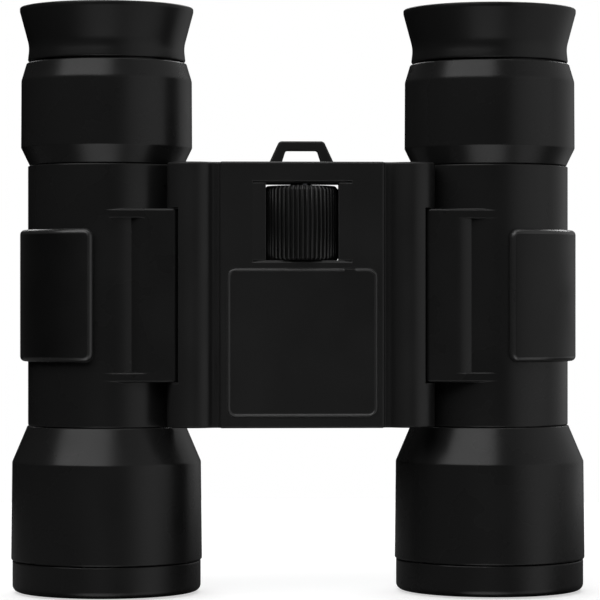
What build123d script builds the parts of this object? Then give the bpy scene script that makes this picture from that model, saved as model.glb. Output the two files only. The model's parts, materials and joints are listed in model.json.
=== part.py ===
from build123d import *
from math import atan2, cos, degrees, radians, sin, sqrt
import os

# Compact folding binoculars with roof prisms, two hinges and a centre focus wheel.
# Millimetres. They stand on the objective bezels: Z runs up along the barrels to the eyepieces,
# X runs across the barrels and -Y is the top face with the focus wheel.
# Left and right are the user's: the left barrel is at +X.

# Fits between the pieces
slide_gap = 0.05
seat_gap = 0.02
seam = 0.12

# Barrel lengths along Z
bezel_length = 5.78
bell_length = 25.0
cone_length = 6.7
tube_length = 48.4
sleeve_length = 19.1
eyecup_length = 10.07
eye_spigot_length = 7.4
cup_gap = 0.35

# Barrel radii, each a step from the tube
tube_r = 14.7
tube_wall = 1.8
bell_r = tube_r + 3.15
bell_wall = 1.6
bezel_r = bell_r - 0.25
sleeve_r = tube_r + 1.3
eyecup_neck_r = tube_r
eyecup_rim_r = tube_r + 1.55

# Grip pads on the outer sides of the tubes
pad_length = tube_length / 2 + 0.3
pad_thick = 1.5
pad_arc = 164.0

# Hinges: the roof covers each hinge, the wing of the tube carries two ears under it
hinge_half = 19.9
roof_r = 4.75
roof_wall = 1.0
wing_rise = 3.1
fold_gap = 0.4
wing_end = 8.3
wing_length = tube_length - 2 * wing_end
wing_flange = 1.65
wing_plate = 5.45
wing_roll = 3.0
wing_thick = 2.2
notch_u = roof_r - 2.05
notch_gap = 0.25
pin_r = roof_r - 2.35
rod_r = pin_r - 0.9
fork_r = pin_r + 0.55

# Bridge housing
bridge_over = 0.24
bridge_length = tube_length + bridge_over
plate_half = hinge_half - roof_r - 0.15
plate_rise = 0.25
back_half = plate_half + 0.3
shell = 1.2
panel_w = 2 * plate_half - 2.6
panel_top = 1.5
panel_foot = 2.05
panel_sunk = 0.8
panel_bead = 0.45
panel_corner = 1.6
edge_break = 0.25
lug_rise = 3.9
lug_bar = 1.75

# Focus drive
wheel_r = 7.0
wheel_length = 13.7
wheel_ribs = 48
window_half = wheel_r - 0.35
window_gap = 0.2
wheel_end = 4.1
relief_r = 58.0
relief_depth = 0.72
relief_lip = 0.4
bulkhead = 3.6
spindle_r = 2.0
thread_r = 1.5
bush_r = 3.0
focus_travel = 1.9
fork_thick = 2.2
arm_thick = 2.4
arm_wide = 2.4

# Optics: edge thickness and the bulge of both faces of each lens, a hollow face below zero
cell_back = 1.9
cell_wall = 1.85
cell_length = 12.0
strut_wide = 7.0
crown_edge = 2.78
crown_front = 1.2
crown_rear = 1.5
flint_edge = 2.58
flint_rear = -0.3
field_edge = 4.08
field_front = -0.6
field_rear = 1.6
eye_edge = 3.38
eye_front = 1.5
eye_rear = 1.1
ring_length = 1.9
dioptre_travel = 0.6
key_r = 0.8

# Levels along Z
bell_z0 = bezel_length + seam
bell_z1 = bell_z0 + bell_length
shoulder_z = bell_z1 - cone_length
tube_z0 = bell_z1 + seam
tube_z1 = tube_z0 + tube_length
tube_mid = (tube_z0 + tube_z1) / 2
sleeve_z0 = tube_z1 + seam
sleeve_z1 = sleeve_z0 + sleeve_length
eyecup_z0 = sleeve_z1 + cup_gap
eyecup_z1 = eyecup_z0 + eyecup_length
bridge_z0 = tube_z0
bridge_z1 = bridge_z0 + bridge_length
wing_z0 = tube_mid - wing_length / 2
wing_z1 = tube_mid + wing_length / 2
wheel_z1 = bridge_z1 - wheel_end
wheel_z0 = wheel_z1 - wheel_length
window_z0 = wheel_z0 - window_gap
window_z1 = wheel_z1 + window_gap
relief_half = sqrt(relief_r**2 - (relief_r - relief_depth) ** 2)
panel_z1 = window_z0 - panel_top
panel_h = panel_z1 - bridge_z0 - panel_foot
panel_z = panel_z1 - panel_h / 2
chamber_z0 = bridge_z0 + 2.5 * shell
chamber_z1 = window_z0 - bulkhead
fork_z = chamber_z1 - 0.3 - focus_travel - fork_thick / 2
arm_z = fork_z - fork_thick / 2 - 2.3 - arm_thick / 2
ear_gap_z0 = fork_z - fork_thick / 2 - focus_travel - 0.4
ear_gap_z1 = fork_z + fork_thick / 2 + focus_travel + 0.4
pin_low_z1 = arm_z - arm_thick / 2 - focus_travel - 0.4
pin_high_z0 = fork_z + fork_thick / 2 + 1.2 + focus_travel + 0.4

# Places across the object
hinge_y = wing_rise - tube_r
hinge_span = tube_r + roof_r + fold_gap
barrel_x = hinge_half + sqrt(hinge_span**2 - hinge_y**2)
to_hinge = degrees(atan2(hinge_y, hinge_half - barrel_x))
front_y = hinge_y - roof_r - plate_rise
back_y = hinge_y + roof_r
wing_y = -tube_r
wheel_y = hinge_y + 0.8
channel_r = roof_r - roof_wall
ear_r = channel_r - 0.3
pin_bore = rod_r + slide_gap
ceiling_y = front_y + panel_sunk + 0.9
floor_y = back_y - shell
chamber_half = plate_half - 1.6
screw_x = chamber_half - 2.4
screw_spots = [(screw_x, chamber_z0 + 2.4), (screw_x, (window_z0 + window_z1) / 2)]

# Radii that follow from the walls around them
tube_bore = tube_r - tube_wall
tube_spigot_r = tube_bore + 1.0
bell_socket_r = bell_r - bell_wall
cell_r = bell_socket_r - cell_back
cell_bore = cell_r + slide_gap
lens_r = cell_r - cell_wall
bezel_spigot = 3.4
cell_z0 = bezel_length + bezel_spigot + focus_travel + 0.8
cell_z1 = cell_z0 + cell_length
tube_spigot_z0 = cell_z1 + focus_travel + 0.3
lens_seat_z = cell_z1 - 2.0
flint_z0 = lens_seat_z - seat_gap - flint_edge
crown_z0 = flint_z0 - seat_gap - crown_edge
strut_r = tube_bore - 0.1
strut_in = strut_r - 1.0
cage_r = tube_bore - seat_gap
cage_z0 = arm_z + arm_thick / 2 + 1.3 + focus_travel + 0.5
cage_disc = 1.6
prism_z = cage_z0 + cage_disc
prism_side = (cage_r - 1.6) / 0.74
prism_thick = 0.8 * prism_side
prism_rise = 0.754 * prism_side
ocular_bore = tube_bore - 1.3
ocular_r = ocular_bore - slide_gap
field_lens_r = ocular_bore - 2.4
eye_lens_r = ocular_bore - 3.0
eye_spigot_r = ocular_bore + 1.6
eye_spigot_z1 = tube_z1 + eye_spigot_length
flange_z0 = eye_spigot_z1 + 2.0
flange_z1 = sleeve_z1 - 3.2
eye_seat = flange_z1 - 1.6
stop_z1 = tube_z1 + 1.4
thread_bore = eye_spigot_r - 0.2
flange_r = thread_bore - slide_gap
collar_r = eyecup_neck_r - 1.3
collar_z1 = sleeve_z1 + 2.4
key_z = tube_z1 + 3.4
key_slot = 2 * (key_r + dioptre_travel) + 0.4


def barrel_plane(sign, turn=0.0):
    """Upright plane through a barrel axis: local x runs outwards from the axis, local y is Z."""
    a = radians(turn)
    return Plane(origin=(sign * barrel_x, 0, 0), x_dir=(cos(a), sin(a), 0), z_dir=(sin(a), -cos(a), 0))


def barrel_axis(sign):
    """Optical axis of a barrel."""
    return Axis((sign * barrel_x, 0, 0), (0, 0, 1))


def upright_plane(x, y):
    """Upright plane through a line along Z at x, y."""
    return Plane(origin=(x, y, 0), x_dir=(1, 0, 0), z_dir=(0, -1, 0))


def level_plane(sign, z):
    """Level plane at a barrel axis with its local x towards that barrel's hinge."""
    a = radians(to_hinge)
    return Plane(origin=(sign * barrel_x, 0, z), x_dir=(sign * cos(a), sin(a), 0), z_dir=(0, 0, 1))


def off_axis(point, sign):
    """Distance of a point from a barrel axis."""
    return sqrt((point.X - sign * barrel_x) ** 2 + point.Y**2)


def key_plane():
    """Upright plane across the right barrel at the height of the key, facing the back."""
    return Plane(origin=(-barrel_x, 0, key_z), x_dir=(1, 0, 0), z_dir=(0, 1, 0))


def corners(*rows):
    """Closed outline in the present line builder, from rows of radius, height and corner rounding."""
    FilletPolyline(*[(r, z) for r, z, _ in rows], radius=[f for _, _, f in rows], close=True)


def bulge_at(r, bulge):
    """Height of a spherical lens face above its edge, half way out to the edge radius r."""
    ball = (r**2 + bulge**2) / (2 * bulge)
    rest = sqrt(ball**2 - r**2 / 4)
    return bulge - ball + rest if bulge > 0 else bulge - ball - rest


def lens_edge(r, low, high, bulge_low, bulge_high):
    """Half section of a lens in the present line builder; a negative bulge is hollow."""
    ThreePointArc((0, low - bulge_low), (r / 2, low - bulge_at(r, bulge_low)), (r, low))
    Line((r, low), (r, high))
    ThreePointArc((r, high), (r / 2, high + bulge_at(r, bulge_high)), (0, high + bulge_high))
    Line((0, high + bulge_high), (0, low - bulge_low))


def make_bezel(sign):
    with BuildPart() as bezel:
        with BuildSketch(barrel_plane(sign)):
            with BuildLine():
                corners(
                    (cell_r - 0.1, 0, 0.4),
                    (bezel_r, 0, 1.2),
                    (bezel_r, bezel_length, 0.25),
                    (bell_socket_r - slide_gap, bezel_length, 0),
                    (bell_socket_r - slide_gap, bezel_length + bezel_spigot, 0),
                    (lens_r + 0.6, bezel_length + bezel_spigot, 0),
                )
            make_face()
        revolve(axis=barrel_axis(sign))
    return bezel.part


def make_bell(sign):
    front_step = bezel_length + bezel_spigot + 0.2
    with BuildPart() as bell:
        with BuildSketch(barrel_plane(sign)):
            with BuildLine():
                corners(
                    (bell_socket_r, bell_z0, 0),
                    (bell_r, bell_z0, 0.3),
                    (bell_r - 0.2, shoulder_z, 0.8),
                    (tube_r + 0.1, bell_z1, 0.2),
                    (tube_spigot_r + slide_gap, bell_z1, 0),
                    (tube_spigot_r + slide_gap, tube_spigot_z0 - 0.1, 0),
                    (cell_bore, tube_spigot_z0 - 0.1, 0),
                    (cell_bore, front_step, 0),
                    (bell_socket_r, front_step, 0),
                )
            make_face()
        revolve(axis=barrel_axis(sign))
    return bell.part


def make_tube(sign):
    inner_u = hinge_half + notch_u + notch_gap
    plate_x = inner_u + wing_plate
    roll_x = plate_x + wing_roll
    roll_y = 0.1 - sqrt(tube_r**2 - (barrel_x - roll_x) ** 2)
    ear_low = (hinge_half + ear_r * cos(radians(95)), hinge_y + ear_r * sin(radians(95)))
    with BuildPart() as tube:
        with BuildSketch(barrel_plane(sign)):
            with BuildLine():
                corners(
                    (tube_bore, tube_spigot_z0, 0),
                    (tube_spigot_r, tube_spigot_z0, 0),
                    (tube_spigot_r, tube_z0, 0),
                    (tube_r, tube_z0, 0.2),
                    (tube_r, tube_z1, 0.2),
                    (eye_spigot_r, tube_z1, 0),
                    (eye_spigot_r, eye_spigot_z1, 0),
                    (ocular_bore, eye_spigot_z1, 0),
                    (ocular_bore, tube_z1 - 1.5, 0),
                    (tube_bore, tube_z1 - 1.5, 0),
                )
            make_face()
        revolve(axis=barrel_axis(sign))
        # Wing beside the bridge: between two flanges its plate rolls down to the tube
        with BuildPart(mode=Mode.PRIVATE) as wing:
            with BuildSketch(Plane.XY.offset(wing_z0)):
                with BuildLine():
                    FilletPolyline(
                        (sign * inner_u, wing_y),
                        (sign * barrel_x, wing_y),
                        (sign * barrel_x, wing_y + wing_thick),
                        (sign * inner_u, wing_y + wing_thick),
                        radius=[0.7, 0, 0, 0],
                        close=True,
                    )
                make_face()
            extrude(amount=wing_length)
            end_edges = wing.faces().filter_by(Axis.Z).edges()
            chamfer(end_edges.filter_by(lambda e: (e @ 0.5).Y < wing_y + 0.5), edge_break)
            with BuildSketch(Plane.XY.offset(wing_z0 + wing_flange)):
                with BuildLine():
                    TangentArc((sign * plate_x, wing_y), (sign * roll_x, roll_y), tangent=(sign, 0))
                    Polyline(
                        (sign * roll_x, roll_y),
                        (sign * roll_x, wing_y + 2 * wing_thick),
                        (sign * (barrel_x + 1), wing_y + 2 * wing_thick),
                        (sign * (barrel_x + 1), wing_y - 1),
                        (sign * plate_x, wing_y - 1),
                        (sign * plate_x, wing_y),
                    )
                make_face()
            extrude(amount=wing_length - 2 * wing_flange, mode=Mode.SUBTRACT)
        add(wing.part)
        # Ears on the hinge line
        for z, length in ((wing_z0, ear_gap_z0 - wing_z0), (ear_gap_z1, wing_z1 - ear_gap_z1)):
            with BuildSketch(Plane.XY.offset(z)):
                with Locations((sign * hinge_half, hinge_y)):
                    Circle(ear_r)
                with BuildLine():
                    Polyline(
                        (sign * inner_u, wing_y + 1.2),
                        (sign * plate_x, wing_y + 1.2),
                        (sign * (plate_x + 0.5), hinge_y + 6.0),
                        (sign * ear_low[0], ear_low[1]),
                        (sign * hinge_half, hinge_y),
                        close=True,
                    )
                make_face()
            extrude(amount=length)
        # Thin shell that closes the hinge between the ears, in front of the fork
        with BuildSketch(Plane.XY.offset(ear_gap_z0)):
            with Locations((sign * hinge_half, hinge_y)):
                Circle(ear_r)
                Circle(fork_r + 0.1, mode=Mode.SUBTRACT)
            with BuildLine():
                Polyline(
                    (sign * hinge_half, hinge_y),
                    (sign * (hinge_half - roof_r), hinge_y - 1.2 * roof_r),
                    (sign * (hinge_half + roof_r), hinge_y - 1.2 * roof_r),
                    (sign * (hinge_half + roof_r), hinge_y + 0.55 * roof_r),
                    close=True,
                )
            make_face(mode=Mode.INTERSECT)
        extrude(amount=ear_gap_z1 - ear_gap_z0)
        # Bore, hinge bores and the slot for the focus arm
        with BuildSketch(Plane.XY.offset(tube_z0)):
            with Locations((sign * barrel_x, 0)):
                Circle(tube_bore)
        extrude(amount=tube_length - 1.5, mode=Mode.SUBTRACT)
        with BuildSketch(Plane.XY.offset(wing_z0)):
            with Locations((sign * hinge_half, hinge_y)):
                Circle(pin_r + 0.03)
        extrude(amount=wing_length, mode=Mode.SUBTRACT)
        with BuildSketch(level_plane(sign, arm_z - arm_thick / 2 - focus_travel - 0.4)):
            with Locations((tube_bore - 1.0, 0)):
                Rectangle(hinge_span - tube_bore + 1.0, arm_wide + 0.6, align=(Align.MIN, Align.CENTER))
        extrude(amount=arm_thick + 2 * focus_travel + 0.8, mode=Mode.SUBTRACT)
        if sign < 0:
            with BuildSketch(key_plane()):
                Circle(key_r + seat_gap)
            extrude(amount=tube_r, mode=Mode.SUBTRACT)
    return tube.part


def make_pad(sign):
    start = degrees(atan2(0, sign)) - pad_arc / 2
    inner = tube_r + seat_gap
    outer = tube_r + pad_thick
    with BuildPart() as pad:
        with BuildSketch(barrel_plane(sign, start)):
            with BuildLine():
                corners(
                    (inner, tube_mid - pad_length / 2, 0),
                    (outer, tube_mid - pad_length / 2, 1.1),
                    (outer, tube_mid + pad_length / 2, 1.1),
                    (inner, tube_mid + pad_length / 2, 0),
                )
            make_face()
        revolve(axis=barrel_axis(sign), revolution_arc=pad_arc)
        flat = pad.faces().filter_by(GeomType.PLANE)
        ends = flat.filter_by(lambda f: abs(f.normal_at().Z) < 0.1)
        rims = ends.edges().filter_by(lambda e: off_axis(e @ 0.5, sign) > inner + 0.2)
        fillet(rims, 0.9)
    return pad.part


def make_sleeve(sign):
    with BuildPart() as sleeve:
        with BuildSketch(barrel_plane(sign)):
            with BuildLine():
                corners(
                    (eye_spigot_r + slide_gap, sleeve_z0, 0),
                    (eye_spigot_r + 1.2, sleeve_z0, 0.2),
                    (sleeve_r, sleeve_z0 + 3.3, 0.5),
                    (sleeve_r - 0.06, sleeve_z1 - 3.3, 2.0),
                    (sleeve_r - 1.05, sleeve_z1, 0.3),
                    (collar_r, sleeve_z1, 0),
                    (collar_r, collar_z1, 0.3),
                    (collar_r - 1.4, collar_z1, 0),
                    (collar_r - 1.4, flange_z1 + dioptre_travel + 0.4, 0),
                    (thread_bore, flange_z1 + dioptre_travel + 0.4, 0),
                    (thread_bore, eye_spigot_z1 + 0.3, 0),
                    (eye_spigot_r + slide_gap, eye_spigot_z1 + 0.3, 0),
                )
            make_face()
        revolve(axis=barrel_axis(sign))
    return sleeve.part


def make_eyecup(sign):
    with BuildPart() as eyecup:
        with BuildSketch(barrel_plane(sign)):
            with BuildLine():
                corners(
                    (collar_r + slide_gap, eyecup_z0, 0),
                    (eyecup_neck_r + 0.1, eyecup_z0, 0.3),
                    (eyecup_neck_r, eyecup_z0 + 2.3, 0),
                    (eyecup_neck_r - 0.15, eyecup_z0 + 2.5, 0),
                    (eyecup_neck_r + 0.05, eyecup_z0 + 3.2, 3.0),
                    (eyecup_rim_r, eyecup_z1 - 0.6, 0.3),
                    (eyecup_rim_r - 0.1, eyecup_z1, 0.35),
                    (eyecup_rim_r - 0.9, eyecup_z1, 0.35),
                    (eyecup_neck_r - 1.2, eyecup_z0 + 3.4, 1.0),
                    (collar_r - 2.6, eyecup_z0 + 3.2, 0.3),
                    (collar_r - 2.6, collar_z1, 0),
                    (collar_r + slide_gap, collar_z1, 0),
                )
            make_face()
        revolve(axis=barrel_axis(sign))
    return eyecup.part


def make_ocular(sign):
    with BuildPart() as ocular:
        with BuildSketch(barrel_plane(sign)):
            with BuildLine():
                corners(
                    (field_lens_r - 0.8, tube_z1 - 1.2, 0),
                    (ocular_r, tube_z1 - 1.2, 0),
                    (ocular_r, flange_z0, 0),
                    (flange_r, flange_z0, 0),
                    (flange_r, flange_z1, 0),
                    (eye_lens_r + seat_gap, flange_z1, 0),
                    (eye_lens_r + seat_gap, eye_seat - eye_edge - seat_gap, 0),
                    (eye_lens_r - 0.8, eye_seat - eye_edge - 0.42, 0),
                    (eye_lens_r - 0.8, tube_z1 + 6.4, 0),
                    (field_lens_r + seat_gap, tube_z1 + 5.6, 0),
                    (field_lens_r + seat_gap, tube_z1, 0),
                    (field_lens_r - 0.8, tube_z1, 0),
                )
            make_face()
        revolve(axis=barrel_axis(sign))
        if sign < 0:
            with BuildSketch(key_plane()):
                SlotOverall(key_slot, 2 * key_r + 0.2, rotation=90)
            extrude(amount=tube_r, mode=Mode.SUBTRACT)
    return ocular.part


def make_field_stop(sign):
    with BuildPart() as stop:
        with BuildSketch(barrel_plane(sign)):
            with BuildLine():
                corners(
                    (field_lens_r - 2.4, tube_z1 + seat_gap, 0),
                    (field_lens_r, tube_z1 + seat_gap, 0),
                    (field_lens_r, stop_z1, 0),
                    (field_lens_r - 1.4, stop_z1, 0),
                )
            make_face()
        revolve(axis=barrel_axis(sign))
    return stop.part


def make_field_lens(sign):
    with BuildPart() as lens:
        with BuildSketch(barrel_plane(sign)):
            with BuildLine():
                low = stop_z1 + seat_gap
                lens_edge(field_lens_r, low, low + field_edge, field_front, field_rear)
            make_face()
        revolve(axis=barrel_axis(sign))
    return lens.part


def make_eye_lens(sign):
    with BuildPart() as lens:
        with BuildSketch(barrel_plane(sign)):
            with BuildLine():
                lens_edge(eye_lens_r, eye_seat - eye_edge, eye_seat, eye_front, eye_rear)
            make_face()
        revolve(axis=barrel_axis(sign))
    return lens.part


def make_eye_retainer(sign):
    with BuildPart() as ring:
        with BuildSketch(barrel_plane(sign)):
            with BuildLine():
                corners(
                    (eye_lens_r - 0.9, eye_seat + 0.4, 0),
                    (eye_lens_r, eye_seat + seat_gap, 0),
                    (eye_lens_r, flange_z1, 0.2),
                    (eye_lens_r - 0.5, flange_z1, 0.2),
                )
            make_face()
        revolve(axis=barrel_axis(sign))
    return ring.part


def make_key():
    with BuildPart() as key:
        with BuildSketch(key_plane().offset(ocular_bore - 1.2)):
            Circle(key_r)
        extrude(amount=eye_spigot_r - 0.1 - ocular_bore + 1.2)
    return key.part


def make_cage(sign):
    height = prism_rise + 2 * cage_disc + 0.05
    with BuildPart() as cage:
        with BuildSketch(level_plane(sign, cage_z0)):
            Circle(cage_r)
            Circle(0.4 * prism_side, mode=Mode.SUBTRACT)
        extrude(amount=height)
        with BuildSketch(level_plane(sign, prism_z)):
            Rectangle(2 * tube_r, prism_thick + 2 * seat_gap)
        extrude(amount=prism_rise + 0.05, mode=Mode.SUBTRACT)
    return cage.part


def prism_plane(sign):
    """Plane of the folded light path: local x towards the hinge, local y up from the cage disc."""
    a = radians(to_hinge)
    along = (sign * cos(a), sin(a), 0)
    across = (sin(a), -sign * cos(a), 0)
    return Plane(origin=(sign * barrel_x, 0, prism_z), x_dir=along, z_dir=across)


def make_half_penta(sign):
    s = prism_side
    with BuildPart() as prism:
        with BuildSketch(prism_plane(sign)):
            with BuildLine():
                Polyline((-0.377 * s, 0), (0.623 * s, 0), (0.33 * s, 0.707 * s), close=True)
            make_face()
        extrude(amount=prism_thick / 2, both=True)
    return prism.part


def make_roof_prism(sign):
    s = prism_side
    plane = prism_plane(sign)
    low = (-0.33 * s, 0.047 * s)
    high = (-0.623 * s, 0.754 * s)
    ridge = Plane(
        origin=plane.from_local_coords(Vector(*high)),
        x_dir=plane.z_dir,
        z_dir=plane.from_local_coords(Vector(*low)) - plane.from_local_coords(Vector(*high)),
    )
    inward = 1 if ridge.y_dir.dot(plane.x_dir) > 0 else -1
    t = prism_thick / 2
    with BuildPart() as prism:
        with BuildSketch(plane):
            with BuildLine():
                Polyline(low, (0.377 * s, 0.754 * s), high, close=True)
            make_face()
        extrude(amount=t, both=True)
        with BuildSketch(ridge):
            with BuildLine():
                Polyline(
                    (0, 0),
                    (t, inward * t),
                    (t, inward * 3 * s),
                    (-t, inward * 3 * s),
                    (-t, inward * t),
                    close=True,
                )
            make_face()
        extrude(amount=2 * s, both=True, mode=Mode.INTERSECT)
    return prism.part


def make_prism_clip(sign):
    with BuildPart() as clip:
        with BuildSketch(level_plane(sign, prism_z + seat_gap)):
            Circle(cage_r)
            Circle(cage_r - 0.5, mode=Mode.SUBTRACT)
            Rectangle(2 * tube_r, prism_thick, mode=Mode.INTERSECT)
        extrude(amount=prism_rise)
    return clip.part


def make_cell(sign):
    with BuildPart() as cell:
        with BuildSketch(barrel_plane(sign)):
            with BuildLine():
                corners(
                    (lens_r + seat_gap, cell_z0, 0),
                    (cell_r, cell_z0, 0.2),
                    (cell_r, cell_z1, 0.2),
                    (lens_r - 0.9, cell_z1, 0),
                    (lens_r - 0.9, lens_seat_z, 0),
                    (lens_r + seat_gap, lens_seat_z, 0),
                )
            make_face()
        revolve(axis=barrel_axis(sign))
        # Foot and strut that reach up inside the tube to the focus arm
        with BuildSketch(level_plane(sign, lens_seat_z)):
            Circle(cell_r - 0.3)
            Circle(strut_in, mode=Mode.SUBTRACT)
            Rectangle(cell_r, strut_wide, align=(Align.MIN, Align.CENTER), mode=Mode.INTERSECT)
        extrude(amount=cell_z1 - lens_seat_z)
        with BuildSketch(level_plane(sign, lens_seat_z)):
            Circle(strut_r)
            Circle(strut_in, mode=Mode.SUBTRACT)
            Rectangle(cell_r, strut_wide, align=(Align.MIN, Align.CENTER), mode=Mode.INTERSECT)
        extrude(amount=arm_z + arm_thick / 2 + 1.3 - lens_seat_z)
        with BuildSketch(level_plane(sign, arm_z - arm_thick / 2 - seat_gap)):
            with Locations((strut_in - 1, 0)):
                Rectangle(4.0, arm_wide + 2 * seat_gap, align=(Align.MIN, Align.CENTER))
        extrude(amount=arm_thick + 2 * seat_gap, mode=Mode.SUBTRACT)
    return cell.part


def make_flint(sign):
    with BuildPart() as flint:
        with BuildSketch(barrel_plane(sign)):
            with BuildLine():
                lens_edge(lens_r, flint_z0, flint_z0 + flint_edge, -crown_rear, flint_rear)
            make_face()
        revolve(axis=barrel_axis(sign))
    return flint.part


def make_crown(sign):
    with BuildPart() as crown:
        with BuildSketch(barrel_plane(sign)):
            with BuildLine():
                lens_edge(lens_r, crown_z0, crown_z0 + crown_edge, crown_front, crown_rear)
            make_face()
        revolve(axis=barrel_axis(sign))
    return crown.part


def make_lens_retainer(sign):
    top = crown_z0 - 3 * seat_gap
    with BuildPart() as ring:
        with BuildSketch(barrel_plane(sign)):
            with BuildLine():
                corners(
                    (lens_r - 0.6, top - ring_length, 0.2),
                    (lens_r, top - ring_length, 0),
                    (lens_r, top, 0),
                    (lens_r - 0.2, top, 0),
                    (lens_r - 1.0, top - 0.4, 0),
                )
            make_face()
        revolve(axis=barrel_axis(sign))
    return ring.part


def make_arm(sign):
    with BuildPart() as arm:
        with BuildSketch(level_plane(sign, arm_z - arm_thick / 2)):
            with Locations((strut_in, 0)):
                Rectangle(hinge_span - strut_in, arm_wide, align=(Align.MIN, Align.CENTER))
            with Locations((hinge_span, 0)):
                Circle(pin_r - 0.1)
                Circle(rod_r + 0.01, mode=Mode.SUBTRACT)
        extrude(amount=arm_thick)
    return arm.part


def make_rod(sign):
    low = wing_z0 + 1.8
    high = wing_z1 - 1.8
    groove0 = fork_z - fork_thick / 2 - 0.08
    groove1 = fork_z + fork_thick / 2 + 0.08
    collar = pin_r - 0.1
    with BuildPart() as rod:
        with BuildSketch(upright_plane(sign * hinge_half, hinge_y)):
            with BuildLine():
                corners(
                    (0, low, 0),
                    (rod_r, low, 0.3),
                    (rod_r, groove0 - 1.1, 0),
                    (collar, groove0 - 1.1, 0),
                    (collar, groove0, 0),
                    (rod_r, groove0, 0),
                    (rod_r, groove1, 0),
                    (collar, groove1, 0),
                    (collar, groove1 + 1.1, 0),
                    (rod_r, groove1 + 1.1, 0),
                    (rod_r, high, 0.3),
                    (0, high, 0),
                )
            make_face()
        revolve(axis=Axis((sign * hinge_half, hinge_y, 0), (0, 0, 1)))
    return rod.part


def make_hinge_pins(sign):
    with BuildPart() as pins:
        for low, high in ((bridge_z0 + 0.5, pin_low_z1), (pin_high_z0, bridge_z1 - 0.5)):
            with BuildSketch(Plane.XY.offset(low)):
                with Locations((sign * hinge_half, hinge_y)):
                    Circle(pin_r)
                    Circle(pin_bore, mode=Mode.SUBTRACT)
            extrude(amount=high - low)
    return pins.part


def bridge_front():
    """Section of the front cover across the bridge, closed along the split plane."""
    roof_u = roof_r - 1.95
    roof_rise = sqrt(roof_r**2 - roof_u**2)
    valley_rise = roof_rise - 0.6
    valley_u = roof_u + 0.6 * roof_rise / roof_u
    for s in (1, -1):
        ThreePointArc(
            (s * (hinge_half + roof_r), hinge_y),
            (s * hinge_half, hinge_y - roof_r),
            (s * (hinge_half - roof_u), hinge_y - roof_rise),
        )
        # Roof runs out into a soft hollow below the edge of the raised plate
        FilletPolyline(
            (s * (hinge_half - roof_u), hinge_y - roof_rise),
            (s * (hinge_half - valley_u), hinge_y - valley_rise),
            (s * (plate_half + 0.1), hinge_y - valley_rise),
            (s * plate_half, front_y),
            (s * (plate_half - 0.8), front_y),
            radius=[1.2, 0.3, 0.45],
        )
    Line((plate_half - 0.8, front_y), (0.8 - plate_half, front_y))
    Line((hinge_half + roof_r, hinge_y), (-hinge_half - roof_r, hinge_y))


def bridge_back():
    """Section of the back cover across the bridge, closed along the split plane."""
    for s in (1, -1):
        ThreePointArc(
            (s * (hinge_half + roof_r), hinge_y),
            (s * (hinge_half + roof_r * cos(radians(45))), hinge_y + roof_r * sin(radians(45))),
            (s * hinge_half, back_y),
        )
    Line((hinge_half, back_y), (-hinge_half, back_y))
    Line((hinge_half + roof_r, hinge_y), (-hinge_half - roof_r, hinge_y))


def lug_outline(gap):
    """Strap loop seen square on, with feet sunk in the bridge; gap widens it for the socket."""
    top = bridge_z1 + lug_rise
    foot = bridge_z1 - 2.0
    FilletPolyline(
        (-5.9 - gap, foot - gap),
        (-5.9 - gap, bridge_z1),
        (-4.1 - gap, top),
        (4.1 + gap, top),
        (5.9 + gap, bridge_z1),
        (5.9 + gap, foot - gap),
        radius=[0.4, 0.8, 0.8, 0.4],
    )
    Line((5.9 + gap, foot - gap), (-5.9 - gap, foot - gap))


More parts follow.
